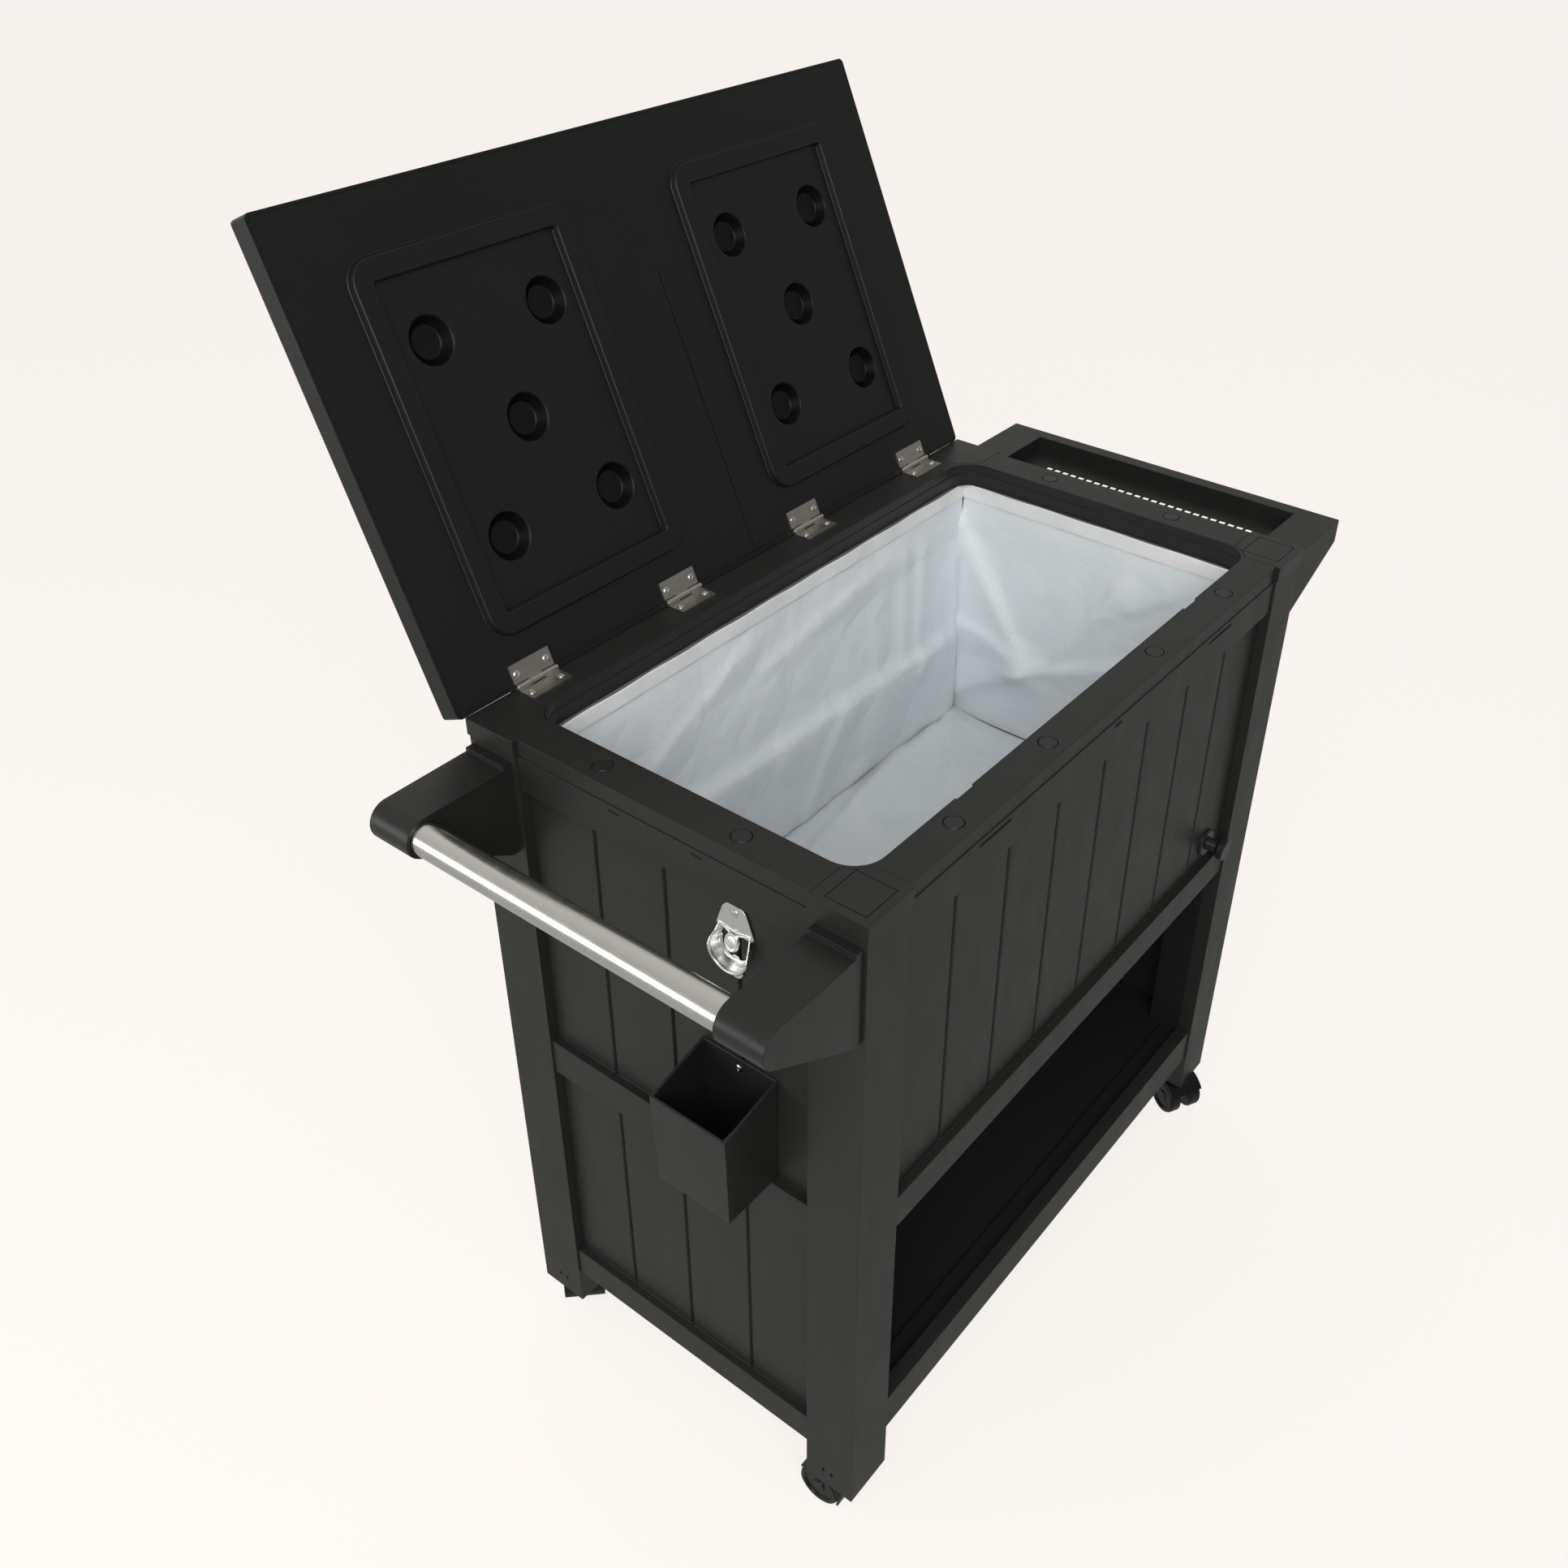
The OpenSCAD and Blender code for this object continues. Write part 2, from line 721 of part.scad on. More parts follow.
// Side tray: a thin moulding with a sunk, slotted recess and gusset ends
module side_tray() {
    root_z = tray_top - tray_root_h;
    edge_z = tray_top - tray_edge_h;
    in_x = tray_back_x + tray_wall;
    out_x = tray_out_x - tray_wall;
    slope = (edge_z - root_z) / (tray_out_x - tray_back_x);
    well_x = tray_out_x - recess_side;
    well_y = tray_y - recess_end;
    well_z = tray_top - recess_depth;
    color(black) placed() difference() {
        union() {
            difference() {
                rotate([90, 0, 0]) linear_extrude(2 * tray_y, center = true)
                    polygon([[tray_back_x, root_z], [tray_out_x, edge_z],
                             [tray_out_x, tray_top], [tray_back_x, tray_top]]);
                rotate([90, 0, 0]) linear_extrude(2 * (tray_y - tray_wall), center = true)
                    polygon([[in_x, root_z - 20], [out_x, edge_z - 20],
                             [out_x, tray_top - tray_wall], [in_x, tray_top - tray_wall]]);
            }
            translate([in_x - eps, -well_y - tray_wall, well_z - recess_floor])
                cube([well_x + tray_wall - in_x + eps, 2 * (well_y + tray_wall),
                      recess_depth + recess_floor - tray_wall + eps]);
            for (s = [-1, 1]) tray_rib(s * (tray_y - rib_in), in_x, out_x, root_z, slope);
        }
        translate([in_x + well_margin, -well_y, well_z])
            cube([well_x - in_x - well_margin, 2 * well_y, recess_depth + 1]);
        slot_row(in_x, well_x, well_y, well_z);
    }
}

// Upright rib under the tray deck that makes each gusset a closed bracket
module tray_rib(y, in_x, out_x, root_z, slope) {
    translate([0, y, 0]) rotate([90, 0, 0]) linear_extrude(tray_wall, center = true)
        polygon([[in_x - eps, root_z + slope * tray_wall],
                 [out_x + eps, root_z + slope * (out_x - tray_back_x)],
                 [out_x + eps, tray_top - eps], [in_x - eps, tray_top - eps]]);
}

// Row of drain slots through the recess floor
module slot_row(in_x, well_x, well_y, well_z) {
    half = floor((well_y - slot_in) / slot_pitch);
    translate([well_x - slot_in - slot_l / 2, -slot_w / 2, well_z - tray_wall - 1])
        for (k = [-half:half]) translate([0, k * slot_pitch, 0]) cube([slot_l, slot_w, tray_wall + 2]);
}

// Side view of a handle bracket: a round nose, a flat top and a sloping underside
module bracket_outline() {
    plate_x = -hx - bracket_plate;
    plate_z = bracket_top - bracket_h;
    d = norm([plate_x - bar_x, plate_z - bar_z]);
    a = atan2(plate_z - bar_z, plate_x - bar_x) - acos(nose_r / d);
    translate([bar_x, bar_z]) circle(nose_r);
    polygon([[bar_x, bar_z], [bar_x + nose_r * cos(a), bar_z + nose_r * sin(a)],
             [plate_x, plate_z], [-post_face_x, plate_z], [-post_face_x, bracket_top],
             [plate_x, bracket_top], [plate_x, bar_z + nose_r], [bar_x, bar_z + nose_r]]);
}

// Handle bracket, at the front or mirrored to the rear
module handle_bracket() {
    difference() {
        translate([0, -bracket_in, 0]) rotate([90, 0, 0])
            linear_extrude(bracket_w) bracket_outline();
        translate([bar_x, -bracket_in + 1, bar_z]) rotate([90, 0, 0])
            cylinder(r = bar_r + screw_gap, h = bar_socket + 1);
    }
}

module handle_bracket_front() {
    color(black) placed() handle_bracket();
}

module handle_bracket_rear() {
    color(black) placed() mirror([0, 1, 0]) handle_bracket();
}

// Steel tube between the two brackets
module handle_bar() {
    l = 2 * (bracket_in + bar_socket);
    color(steel) placed() translate([bar_x, 0, bar_z]) rotate([90, 0, 0]) difference() {
        cylinder(r = bar_r, h = l, center = true);
        cylinder(r = bar_r - bar_wall, h = l + 2, center = true);
    }
}

// Turns a shape drawn on the closed lid about the hinge line to the open rest position
module on_lid() {
    translate([-lid_shift, hinge_y, hinge_z]) rotate([-lid_open, 0, 0]) children();
}

// End view of the lid: a bar with its two upper edges chamfered
module chamfered_end(w, h, c) {
    polygon([[-w / 2, 0], [w / 2, 0], [w / 2, h - c], [w / 2 - c, h], [-w / 2 + c, h], [-w / 2, h - c]]);
}

// Slab with a plan radius and a chamfered upper edge, from y = -reach to y = -back
module lid_slab(inset, z0, z1, chamfer) {
    w = lid_w - 2 * inset;
    y0 = -lid_reach + inset;
    y1 = -lid_back - inset;
    d = y1 - y0;
    h = z1 - z0;
    translate([0, (y0 + y1) / 2, z0]) intersection() {
        linear_extrude(h) rounded_rect(w, d, max(lid_corner_r - inset, 1));
        rotate([90, 0, 0]) linear_extrude(d + 2, center = true)
            chamfered_end(w, h, chamfer);
        rotate([90, 0, 90]) linear_extrude(w + 2, center = true)
            chamfered_end(d, h, chamfer);
    }
}

// Outer shell of the lid: a shallow pan with a seat for the inner panel
module lid_shell() {
    top = lid_in + lid_t;
    color(black) placed() on_lid() {
        difference() {
            lid_slab(0, lid_in, top, lid_chamfer);
            lid_slab(lid_wall, lid_in - 1, lid_in + lid_skin, 0.1);
            lid_slab(lid_wall + lid_lip, lid_in, top - lid_wall, lid_chamfer);
        }
        lid_heel();
    }
}

// Strip along the lid's back edge that closes the gap behind the rim, between the rear caps
module lid_heel() {
    reach = hx - cap_size - heel_side;
    translate([lid_shift - reach, -lid_back - eps, lid_in])
        cube([2 * reach, heel_reach + lid_back + eps, lid_t - lid_chamfer]);
}

// Cross-section of the raised ridge, from its outer foot inwards
function ridge_profile() = [[0, eps], [0, 0], [ridge_w * 0.07, -ridge_h * 0.8], [ridge_w * 0.14, -ridge_h],
    [ridge_w * 0.86, -ridge_h], [ridge_w * 0.93, -ridge_h * 0.8], [ridge_w, 0], [ridge_w, eps]];

// Raised rounded frame on the lid's inside, its foot at z = 0
module ridge_ring() {
    sx = frame_w - 2 * frame_r;
    sy = frame_l - 2 * frame_r;
    for (a = [0, 180]) rotate(a) {
        translate([frame_w / 2, sy / 2, 0]) rotate([90, 0, 0])
            linear_extrude(sy) mirror([1, 0]) polygon(ridge_profile());
        translate([-sx / 2, frame_l / 2, 0]) rotate([90, 0, 90])
            linear_extrude(sx) mirror([1, 0]) polygon(ridge_profile());
    }
    for (x = [-1, 1], y = [-1, 1]) translate([x * sx / 2, y * sy / 2, 0])
        rotate(x > 0 ? (y > 0 ? 0 : 270) : (y > 0 ? 90 : 180)) rotate_extrude(angle = 90)
            translate([frame_r, 0]) mirror([1, 0]) polygon(ridge_profile());
}

// Centres of the five dimples inside a raised frame
module dimple_places() {
    for (p = [[0, 0], [-1, -1], [-1, 1], [1, -1], [1, 1]])
        translate([p[0] * dimple_dx, p[1] * dimple_du, 0]) children();
}

// Inner panel of the lid, with two raised frames and ten dimples
module lid_inner_panel() {
    color(black) placed() on_lid() difference() {
        union() {
            lid_slab(lid_wall + seat_gap, lid_in, lid_in + lid_skin, 0.1);
            for (s = [-1, 1]) translate([s * frame_x, -frame_u, lid_in]) {
                ridge_ring();
                dimple_places() cylinder(r1 = dimple_r + lid_skin, r2 = dimple_floor_r + lid_skin,
                                         h = dimple_depth + lid_skin);
            }
        }
        for (s = [-1, 1]) translate([s * frame_x, -frame_u, lid_in]) dimple_places() {
            translate([0, 0, -eps]) cylinder(r1 = dimple_r, r2 = dimple_floor_r, h = dimple_depth);
        }
        translate([mould_line_x, -lid_reach * mould_line_part, lid_in - 1])
            cube([mould_line_w, lid_reach, mould_line_cut + 1]);
        hinge_places() hinge_screw_places(1)
            cylinder(r = hinge_screw_r + screw_gap, h = 30, center = true, $fn = 24);
    }
}

// Hinge centres along the hinge line; children are drawn about the pin's axis
module hinge_places() {
    for (k = [0:hinge_count - 1])
        translate([(k - (hinge_count - 1) / 2) * hinge_pitch, 0, 0]) children();
}

// The two screws of a leaf: side -1 is the rim leaf, in the cart's frame, 1 the lid leaf
module hinge_screw_places(side) {
    at = side < 0 ? [0, hinge_y - hinge_screw_u, rim_top] : [0, -hinge_screw_u, lid_in];
    for (x = [-1, 1]) translate(at + [x * hinge_screw_x, 0, 0]) children();
}

// Flat of a leaf, its outer face at z = side * hinge_lift
module leaf_flat(side) {
    z = side > 0 ? hinge_lift - leaf_t : -hinge_lift;
    difference() {
        translate([-hinge_l / 2, -leaf_w, z]) cube([hinge_l, leaf_w, leaf_t]);
        for (x = [-1, 1]) translate([x * hinge_screw_x, -hinge_screw_u, 0])
            cylinder(r = hinge_screw_r + screw_gap, h = 20, center = true, $fn = 24);
    }
}

// Barrel of knuckles between two stations on the pin
module barrel(x0, x1) {
    translate([x0, 0, 0]) rotate([0, 90, 0]) cylinder(r = knuckle_r, h = x1 - x0);
}

// Clearance for the other leaf's knuckle
module knuckle_room(x0, x1) {
    translate([x0, -knuckle_r - 0.5, -10]) cube([x1 - x0, knuckle_r + 10, 20]);
}

// One leaf with its knuckles: the rim leaf has the two outer ones, the lid leaf the middle one
module hinge_leaf(side) {
    a = hinge_l / 2;
    b = third / 2;
    difference() {
        union() {
            difference() {
                leaf_flat(side);
                if (side < 0) knuckle_room(-b - knuckle_gap, b + knuckle_gap);
                if (side > 0) knuckle_room(-a - 1, -b);
                if (side > 0) knuckle_room(b, a + 1);
            }
            if (side < 0) barrel(-a, -b - knuckle_gap);
            if (side < 0) barrel(b + knuckle_gap, a);
            if (side > 0) barrel(-b, b);
        }
        rotate([0, 90, 0]) cylinder(r = hinge_pin_r + run_gap, h = hinge_l + 2, center = true, $fn = 32);
    }
}

module hinge_rim_leaves() {
    color(steel) placed() translate([-lid_shift, hinge_y, hinge_z]) hinge_places() hinge_leaf(-1);
}

module hinge_lid_leaves() {
    color(steel) placed() on_lid() hinge_places() hinge_leaf(1);
}

module hinge_pins() {
    color(bright) placed() translate([-lid_shift, hinge_y, hinge_z]) hinge_places() rotate([0, 90, 0]) {
        cylinder(r = hinge_pin_r, h = hinge_l, center = true, $fn = 32);
        for (s = [-1, 1]) translate([0, 0, s * (hinge_l / 2 + 0.3)])
            cylinder(r = hinge_pin_r + 0.8, h = 0.6, center = true, $fn = 32);
    }
}

// Pan-head screw, its head standing on z = 0
module pan_screw(r, head_r, l) {
    rotate_extrude($fn = 32) polygon([[0, -l], [r * 0.5, -l], [r, -l + r], [r, 0], [head_r, 0],
        [head_r, head_r * 0.15], [head_r * 0.75, head_r * 0.32], [0, head_r * 0.4]]);
}

module hinge_rim_screws() {
    color(bright) placed() translate([-lid_shift, 0, leaf_t]) hinge_places() hinge_screw_places(-1)
        pan_screw(hinge_screw_r, hinge_head_r, hinge_screw_l);
}

module hinge_lid_screws() {
    color(bright) placed() on_lid() hinge_places() hinge_screw_places(1)
        translate([0, 0, -leaf_t]) mirror([0, 0, 1])
            pan_screw(hinge_screw_r, hinge_head_r, hinge_screw_l);
}

// Places the wall fittings' own frame: x to the cart's front, y up, z out from the end panel
module on_left_wall(z) {
    translate([panel_skin_x, fit_y, foot + z]) rotate([90, 0, -90]) children();
}

module opener_screw_places() {
    for (d = [0, opener_screw_drop]) on_left_wall(opener_z - d) children();
}

module catcher_screw_place() {
    on_left_wall(catcher_z - catcher_screw_down) children();
}

// Wall bottle opener: screw plate, hooded tongue, side arms and a flared catching lip
module bottle_opener() {
    t = opener_t;
    lip_y = -36;
    lip_in = 14;
    lip_out = 20.5;
    lip_reach = 15;
    color(bright) placed() on_left_wall(opener_z) difference() {
        union() {
            linear_extrude(t) {
                circle(13);
                polygon([[-13, 0], [13, 0], [20, -19], [20, -26], [-20, -26], [-20, -19]]);
                translate([0, lip_y]) circle(lip_in + t);
                translate([-6.5, -opener_screw_drop]) square([13, 24]);
                translate([0, -opener_screw_drop]) circle(8);
            }
            translate([0, lip_y, 0]) difference() {
                cylinder(r1 = lip_in + t, r2 = lip_out + t, h = lip_reach);
                translate([0, 0, -eps]) cylinder(r1 = lip_in, r2 = lip_out, h = lip_reach + 1);
                translate([-40, 2, -1]) cube([80, 40, 40]);
            }
            for (s = [-1, 1]) opener_arm(s, lip_y, lip_out, lip_reach);
            opener_tongue();
        }
        translate([0, lip_y, -1]) linear_extrude(t + 2) intersection() {
            circle(lip_in - 2);
            translate([-20, -5]) square([40, 30]);
        }
        for (y = [0, -opener_screw_drop]) translate([0, y, -1])
            cylinder(r = fitting_screw_r + screw_gap, h = t + 2, $fn = 24);
    }
}

// Side arm from the plate's shoulder out to the end of the lip
module opener_arm(s, lip_y, lip_out, lip_reach) {
    w = 3;
    translate([s > 0 ? lip_out - w + opener_t : -lip_out - opener_t, 0, 0]) rotate([90, 0, 90])
        linear_extrude(w) polygon([[-19, 0], [-22, 0], [lip_y, 0], [lip_y, lip_reach],
                                   [lip_y + 4, lip_reach], [-19, opener_t]]);
}

// Tongue that presses on the bottle cap, bent out of the plate
module opener_tongue() {
    translate([-8, 0, 0]) rotate([90, 0, 90]) linear_extrude(16)
        polygon([[-10, 0], [-10, opener_t], [-17, 9], [-27, 12], [-27, 9.5], [-19, 7], [-14, 0]]);
}

module opener_screws() {
    color(bright) placed() opener_screw_places()
        translate([0, 0, opener_t]) pan_screw(fitting_screw_r, fitting_head_r, fitting_screw_l);
}

// Side view of the cap catcher, back to front; open_up carries the hollow out through its mouth
module catcher_side(inset, open_up) {
    low = inset - catcher_h;
    front = catcher_d - inset;
    lip = open_up > 0 ? [[open_up - catcher_dip, front]] : [];
    polygon([[low, inset], [low, front - catcher_rake], [-catcher_dip, front], each lip,
             [open_up, inset]]);
}

// Front view of the cap catcher, narrowing towards its foot
module catcher_front(inset, open_up) {
    w = catcher_w / 2 - inset;
    low = inset - catcher_h;
    polygon([[-w, open_up], [-w + catcher_taper, low], [w - catcher_taper, low], [w, open_up]]);
}

// The two views crossed: the outer form, or with an inset the hollow
module catcher_form(inset, open_up) {
    intersection() {
        rotate([90, 0, 90]) linear_extrude(catcher_w + 2, center = true) catcher_side(inset, open_up);
        linear_extrude(catcher_d + 1) catcher_front(inset, open_up);
    }
}

// Open box below the opener that catches the bottle caps
module cap_catcher() {
    color(black) placed() on_left_wall(catcher_z) difference() {
        catcher_form(0, 0);
        catcher_form(catcher_wall, catcher_d);
        translate([0, -catcher_screw_down, -1])
            cylinder(r = fitting_screw_r + screw_gap, h = catcher_wall + 2, $fn = 24);
    }
}

module catcher_screw() {
    color(bright) placed() catcher_screw_place()
        translate([0, 0, catcher_wall]) pan_screw(fitting_screw_r, fitting_head_r, fitting_screw_l);
}

// Axis of the drain, pointing out of the front panel; z = 0 on the plank face
module on_drain() {
    translate([drain_x, -front_field, drain_z]) rotate([90, 0, 0]) children();
}

// Flanged drain spigot through the panel, the insulation and the liner
module drain_fitting() {
    inside = front_field - liner_in_y + 3;
    color(deep_black) placed() on_drain() rotate_extrude()
        polygon([[drain_bore_r, -inside], [drain_tube_r, -inside], [drain_tube_r, 0],
                 [drain_flange_r, 0], [drain_flange_r, flange_t - 1.5], [drain_flange_r - 1.5, flange_t],
                 [drain_bore_r, flange_t]]);
}

// Turning knob of the drain, its plug running in the spigot
module drain_knob() {
    tip = knob_reach;
    plug = drain_bore_r - run_gap;
    color(deep_black) placed() on_drain() rotate_extrude()
        polygon([[0, -plug_l], [plug, -plug_l], [plug, flange_t + seat_gap], [8, flange_t + seat_gap],
                 [6.5, tip - 12], [knob_r - 2, tip - 9], [knob_r, tip - 7.5], [knob_r, tip - 1.5],
                 [knob_r - 1.5, tip], [0, tip]]);
}

// Swivel axis of a caster; z = 0 at the foot of the post, x along the trail
module at_caster(k) {
    c = casters[k];
    translate([c[0] * stem_x, c[1] * stem_y, foot]) rotate(c[2]) children();
}

module at_axle(k) {
    at_caster(k) translate([trail, 0, -axle_drop]) rotate([90, 0, 0]) children();
}

// Sleeves in the posts that take the caster stems
module caster_sockets() {
    color(deep_black) placed() for (k = [0:3]) at_caster(k) rotate_extrude()
        polygon([[stem_r + screw_gap, -1.5], [12, -1.5], [12, 0], [socket_r, 0],
                 [socket_r, stem_l + 2], [0, stem_l + 2], [0, stem_l + seat_gap],
                 [stem_r + screw_gap, stem_l + seat_gap]]);
}

// Swivel stems with their shoulder under the sleeve
module caster_stems() {
    color(steel) placed() for (k = [0:3]) at_caster(k) rotate_extrude()
        polygon([[0, -13.2], [stem_r, -13.2], [stem_r, -3.5], [8, -3.5], [8, -1.5],
                 [stem_r, -1.5], [stem_r, stem_l - 1], [stem_r - 1, stem_l], [0, stem_l]]);
}

// Sector of the hood in side view, from behind the stem to over the wheel
module hood_outline() {
    intersection() {
        circle(hood_r);
        polygon([[0, 0], [60, 60 * tan(hood_open)], [60, 80], [-80, 80], [-80, -30]]);
    }
    circle(11);
}

// Swivel body: hood over both wheels, web between them and the stem's boss
module hood(k) {
    color(deep_black) placed() at_caster(k) difference() {
        union() {
            translate([trail, 0, -axle_drop]) rotate([90, 0, 0])
                linear_extrude(2 * wheel_out, center = true) hood_outline();
            translate([0, 0, -16]) cylinder(r = stem_r + 4, h = 12);
        }
        for (s = [-1, 1]) translate([trail, s * (web_half + 20), -axle_drop]) rotate([90, 0, 0])
            cylinder(r = wheel_r + hood_gap, h = 40, center = true);
        translate([0, 0, -13.5]) cylinder(r = stem_r + run_gap, h = 20);
        translate([0, 0, -4]) cylinder(r = 10, h = 10);
        translate([trail, 0, -axle_drop]) rotate([90, 0, 0])
            cylinder(r = axle_r + run_gap, h = 20, center = true);
    }
}

module axle(k) {
    color(steel) placed() at_axle(k)
        cylinder(r = axle_r, h = 2 * (wheel_out - 4.5), center = true, $fn = 32);
}

// One wheel, with a rounded tread and a dished outer face; side picks left or right
module wheel(k, side) {
    r = wheel_r;
    a = wheel_in;
    b = wheel_out;
    color(deep_black) placed() at_axle(k) mirror([0, 0, side > 0 ? 0 : 1]) rotate_extrude()
        polygon([[axle_r + run_gap, a], [r - 2, a], [r, a + 2], each wheel_edge,
                 [r - 6, b], [r - 7.5, b - 2], [axle_r + 5, b - 2], [axle_r + 4, b - 0.5],
                 [0, b - 0.5], [0, b - 4], [axle_r + run_gap, b - 4]]);
}

module post_front_left() { color(black) placed() post(-1, -1); }
module post_front_right() { color(black) placed() post(1, -1); }
module post_rear_left() { color(black) placed() post(-1, 1); }
module post_rear_right() { color(black) placed() post(1, 1); }
module cap_front_left() { color(black) placed() cap(-1, -1); }
module cap_front_right() { color(black) placed() cap(1, -1); }
module cap_rear_left() { color(black) placed() cap(-1, 1); }
module cap_rear_right() { color(black) placed() cap(1, 1); }

post_front_left();
post_front_right();
post_rear_left();
post_rear_right();
cap_front_left();
cap_front_right();
cap_rear_left();
cap_rear_right();
rim_frame();
rim_plugs();
front_panel();
rear_panel();
left_panel();
right_panel();
tub_board();
foam_front();
foam_rear();
foam_left();
foam_right();
foam_floor();
liner();
shelf();
shelf_rail_front();
shelf_rail_rear();
side_tray();
handle_bracket_front();
handle_bracket_rear();
handle_bar();
lid_shell();
lid_inner_panel();
hinge_rim_leaves();
hinge_lid_leaves();
hinge_pins();
hinge_rim_screws();
hinge_lid_screws();
bottle_opener();
opener_screws();
cap_catcher();
catcher_screw();
drain_fitting();
drain_knob();
caster_sockets();
caster_stems();
hood(0);  // hood_front_left
hood(1);  // hood_front_right
hood(2);  // hood_rear_left
hood(3);  // hood_rear_right
axle(0);  // axle_front_left
axle(1);  // axle_front_right
axle(2);  // axle_rear_left
axle(3);  // axle_rear_right
wheel(0, 1);  // wheel_front_left_a
wheel(0, -1);  // wheel_front_left_b
wheel(1, 1);  // wheel_front_right_a
wheel(1, -1);  // wheel_front_right_b
wheel(2, 1);  // wheel_rear_left_a
wheel(2, -1);  // wheel_rear_left_b
wheel(3, 1);  // wheel_rear_right_a
wheel(3, -1);  // wheel_rear_right_b
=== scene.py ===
"""Looks of a portable patio bar, a rolling cooler cart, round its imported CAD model."""
import json
import math

import bmesh
import bpy
from bpy.props import FloatProperty, FloatVectorProperty, IntProperty, PointerProperty
from mathutils import Euler, Matrix, Vector
from mathutils.geometry import convex_hull_2d

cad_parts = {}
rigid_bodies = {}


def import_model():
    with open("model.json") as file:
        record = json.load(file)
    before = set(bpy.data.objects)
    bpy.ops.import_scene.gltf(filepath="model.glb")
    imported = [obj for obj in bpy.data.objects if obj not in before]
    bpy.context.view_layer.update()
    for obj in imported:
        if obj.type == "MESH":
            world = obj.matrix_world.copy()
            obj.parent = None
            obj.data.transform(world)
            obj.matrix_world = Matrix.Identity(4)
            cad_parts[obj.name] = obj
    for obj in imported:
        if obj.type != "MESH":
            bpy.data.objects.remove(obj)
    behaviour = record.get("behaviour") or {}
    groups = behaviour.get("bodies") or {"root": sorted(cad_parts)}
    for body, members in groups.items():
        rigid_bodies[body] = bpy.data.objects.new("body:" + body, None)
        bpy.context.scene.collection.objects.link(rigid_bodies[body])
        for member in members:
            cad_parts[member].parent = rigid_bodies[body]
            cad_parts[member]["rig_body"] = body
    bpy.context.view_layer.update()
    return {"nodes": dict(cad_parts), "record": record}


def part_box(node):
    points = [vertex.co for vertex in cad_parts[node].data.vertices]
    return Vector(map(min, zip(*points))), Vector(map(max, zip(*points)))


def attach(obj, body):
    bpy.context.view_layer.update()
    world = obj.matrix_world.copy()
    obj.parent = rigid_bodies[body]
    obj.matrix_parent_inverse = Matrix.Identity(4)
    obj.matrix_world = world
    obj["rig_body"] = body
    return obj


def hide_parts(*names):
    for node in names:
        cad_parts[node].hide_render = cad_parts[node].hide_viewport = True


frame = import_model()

bl_info = {
    "name": "Patio bar cart looks",
    "version": (1, 0, 0),
    "blender": (4, 5, 0),
    "location": "3D View > Sidebar > Bar Cart",
    "description": "Finishes, soft liner, fine fittings and studio of a rolling patio cooler cart",
    "category": "Object",
}

SLOTS = {p["node"]: p["material_slot"] for p in frame["record"]["subparts"]}
CORNERS = ("front_left", "front_right", "rear_left", "rear_right")
MM = 0.001
NEUTRAL = (0.89, 0.895, 0.87, 1.0)       # floor and room in everything but the camera's own view
FLOOR_GLOW = 0.8                         # share of the seen floor that glows; the rest is lit
HOOD_EDGE = 0.0006


# Properties

class StudioSettings(bpy.types.PropertyGroup):
    """Camera, backdrop and lamps."""
    place: FloatVectorProperty(name="Camera place", description="Where the camera stands",
                               default=(-1.14073, -0.854204, 1.65776), subtype="TRANSLATION",
                               unit="LENGTH")
    turn: FloatVectorProperty(name="Camera turn", description="How the camera is turned",
                              default=(0.978419, -0.009759, -0.909382), subtype="EULER",
                              unit="ROTATION")
    lens: FloatProperty(name="Lens", description="Focal length for a 36 mm sensor, in millimetres",
                        default=36.1)
    shift: FloatVectorProperty(name="Shift",
                               description="Shift of the lens, as a part of the frame", size=2,
                               default=(-0.0303, -0.0412))
    backdrop: FloatVectorProperty(name="Backdrop",
                                  description="Colour of the floor and the backdrop",
                                  default=(0.930, 0.888, 0.855), subtype="COLOR", min=0, max=1)
    overhead: FloatProperty(name="Overhead light", description="Power of the softbox over the cart",
                            default=84.0, min=0, unit="POWER")
    side: FloatProperty(name="Side light", description="Power of the softbox on the handle's side",
                        default=21.0, min=0, unit="POWER")
    lift: FloatProperty(name="Floor lift",
                        description="Extra glow of the seen floor, which makes up for its lit part",
                        default=0.13, min=0)
    mirror: FloatProperty(name="Floor in mirrors",
                          description="How bright the floor is in reflections", default=0.5, min=0)
    dim: FloatProperty(name="Dim side", description="Light from the dark side of the room",
                       default=0.12, min=0)
    bright: FloatProperty(name="Bright side", description="Light from the pale side of the room",
                          default=1.05, min=0)


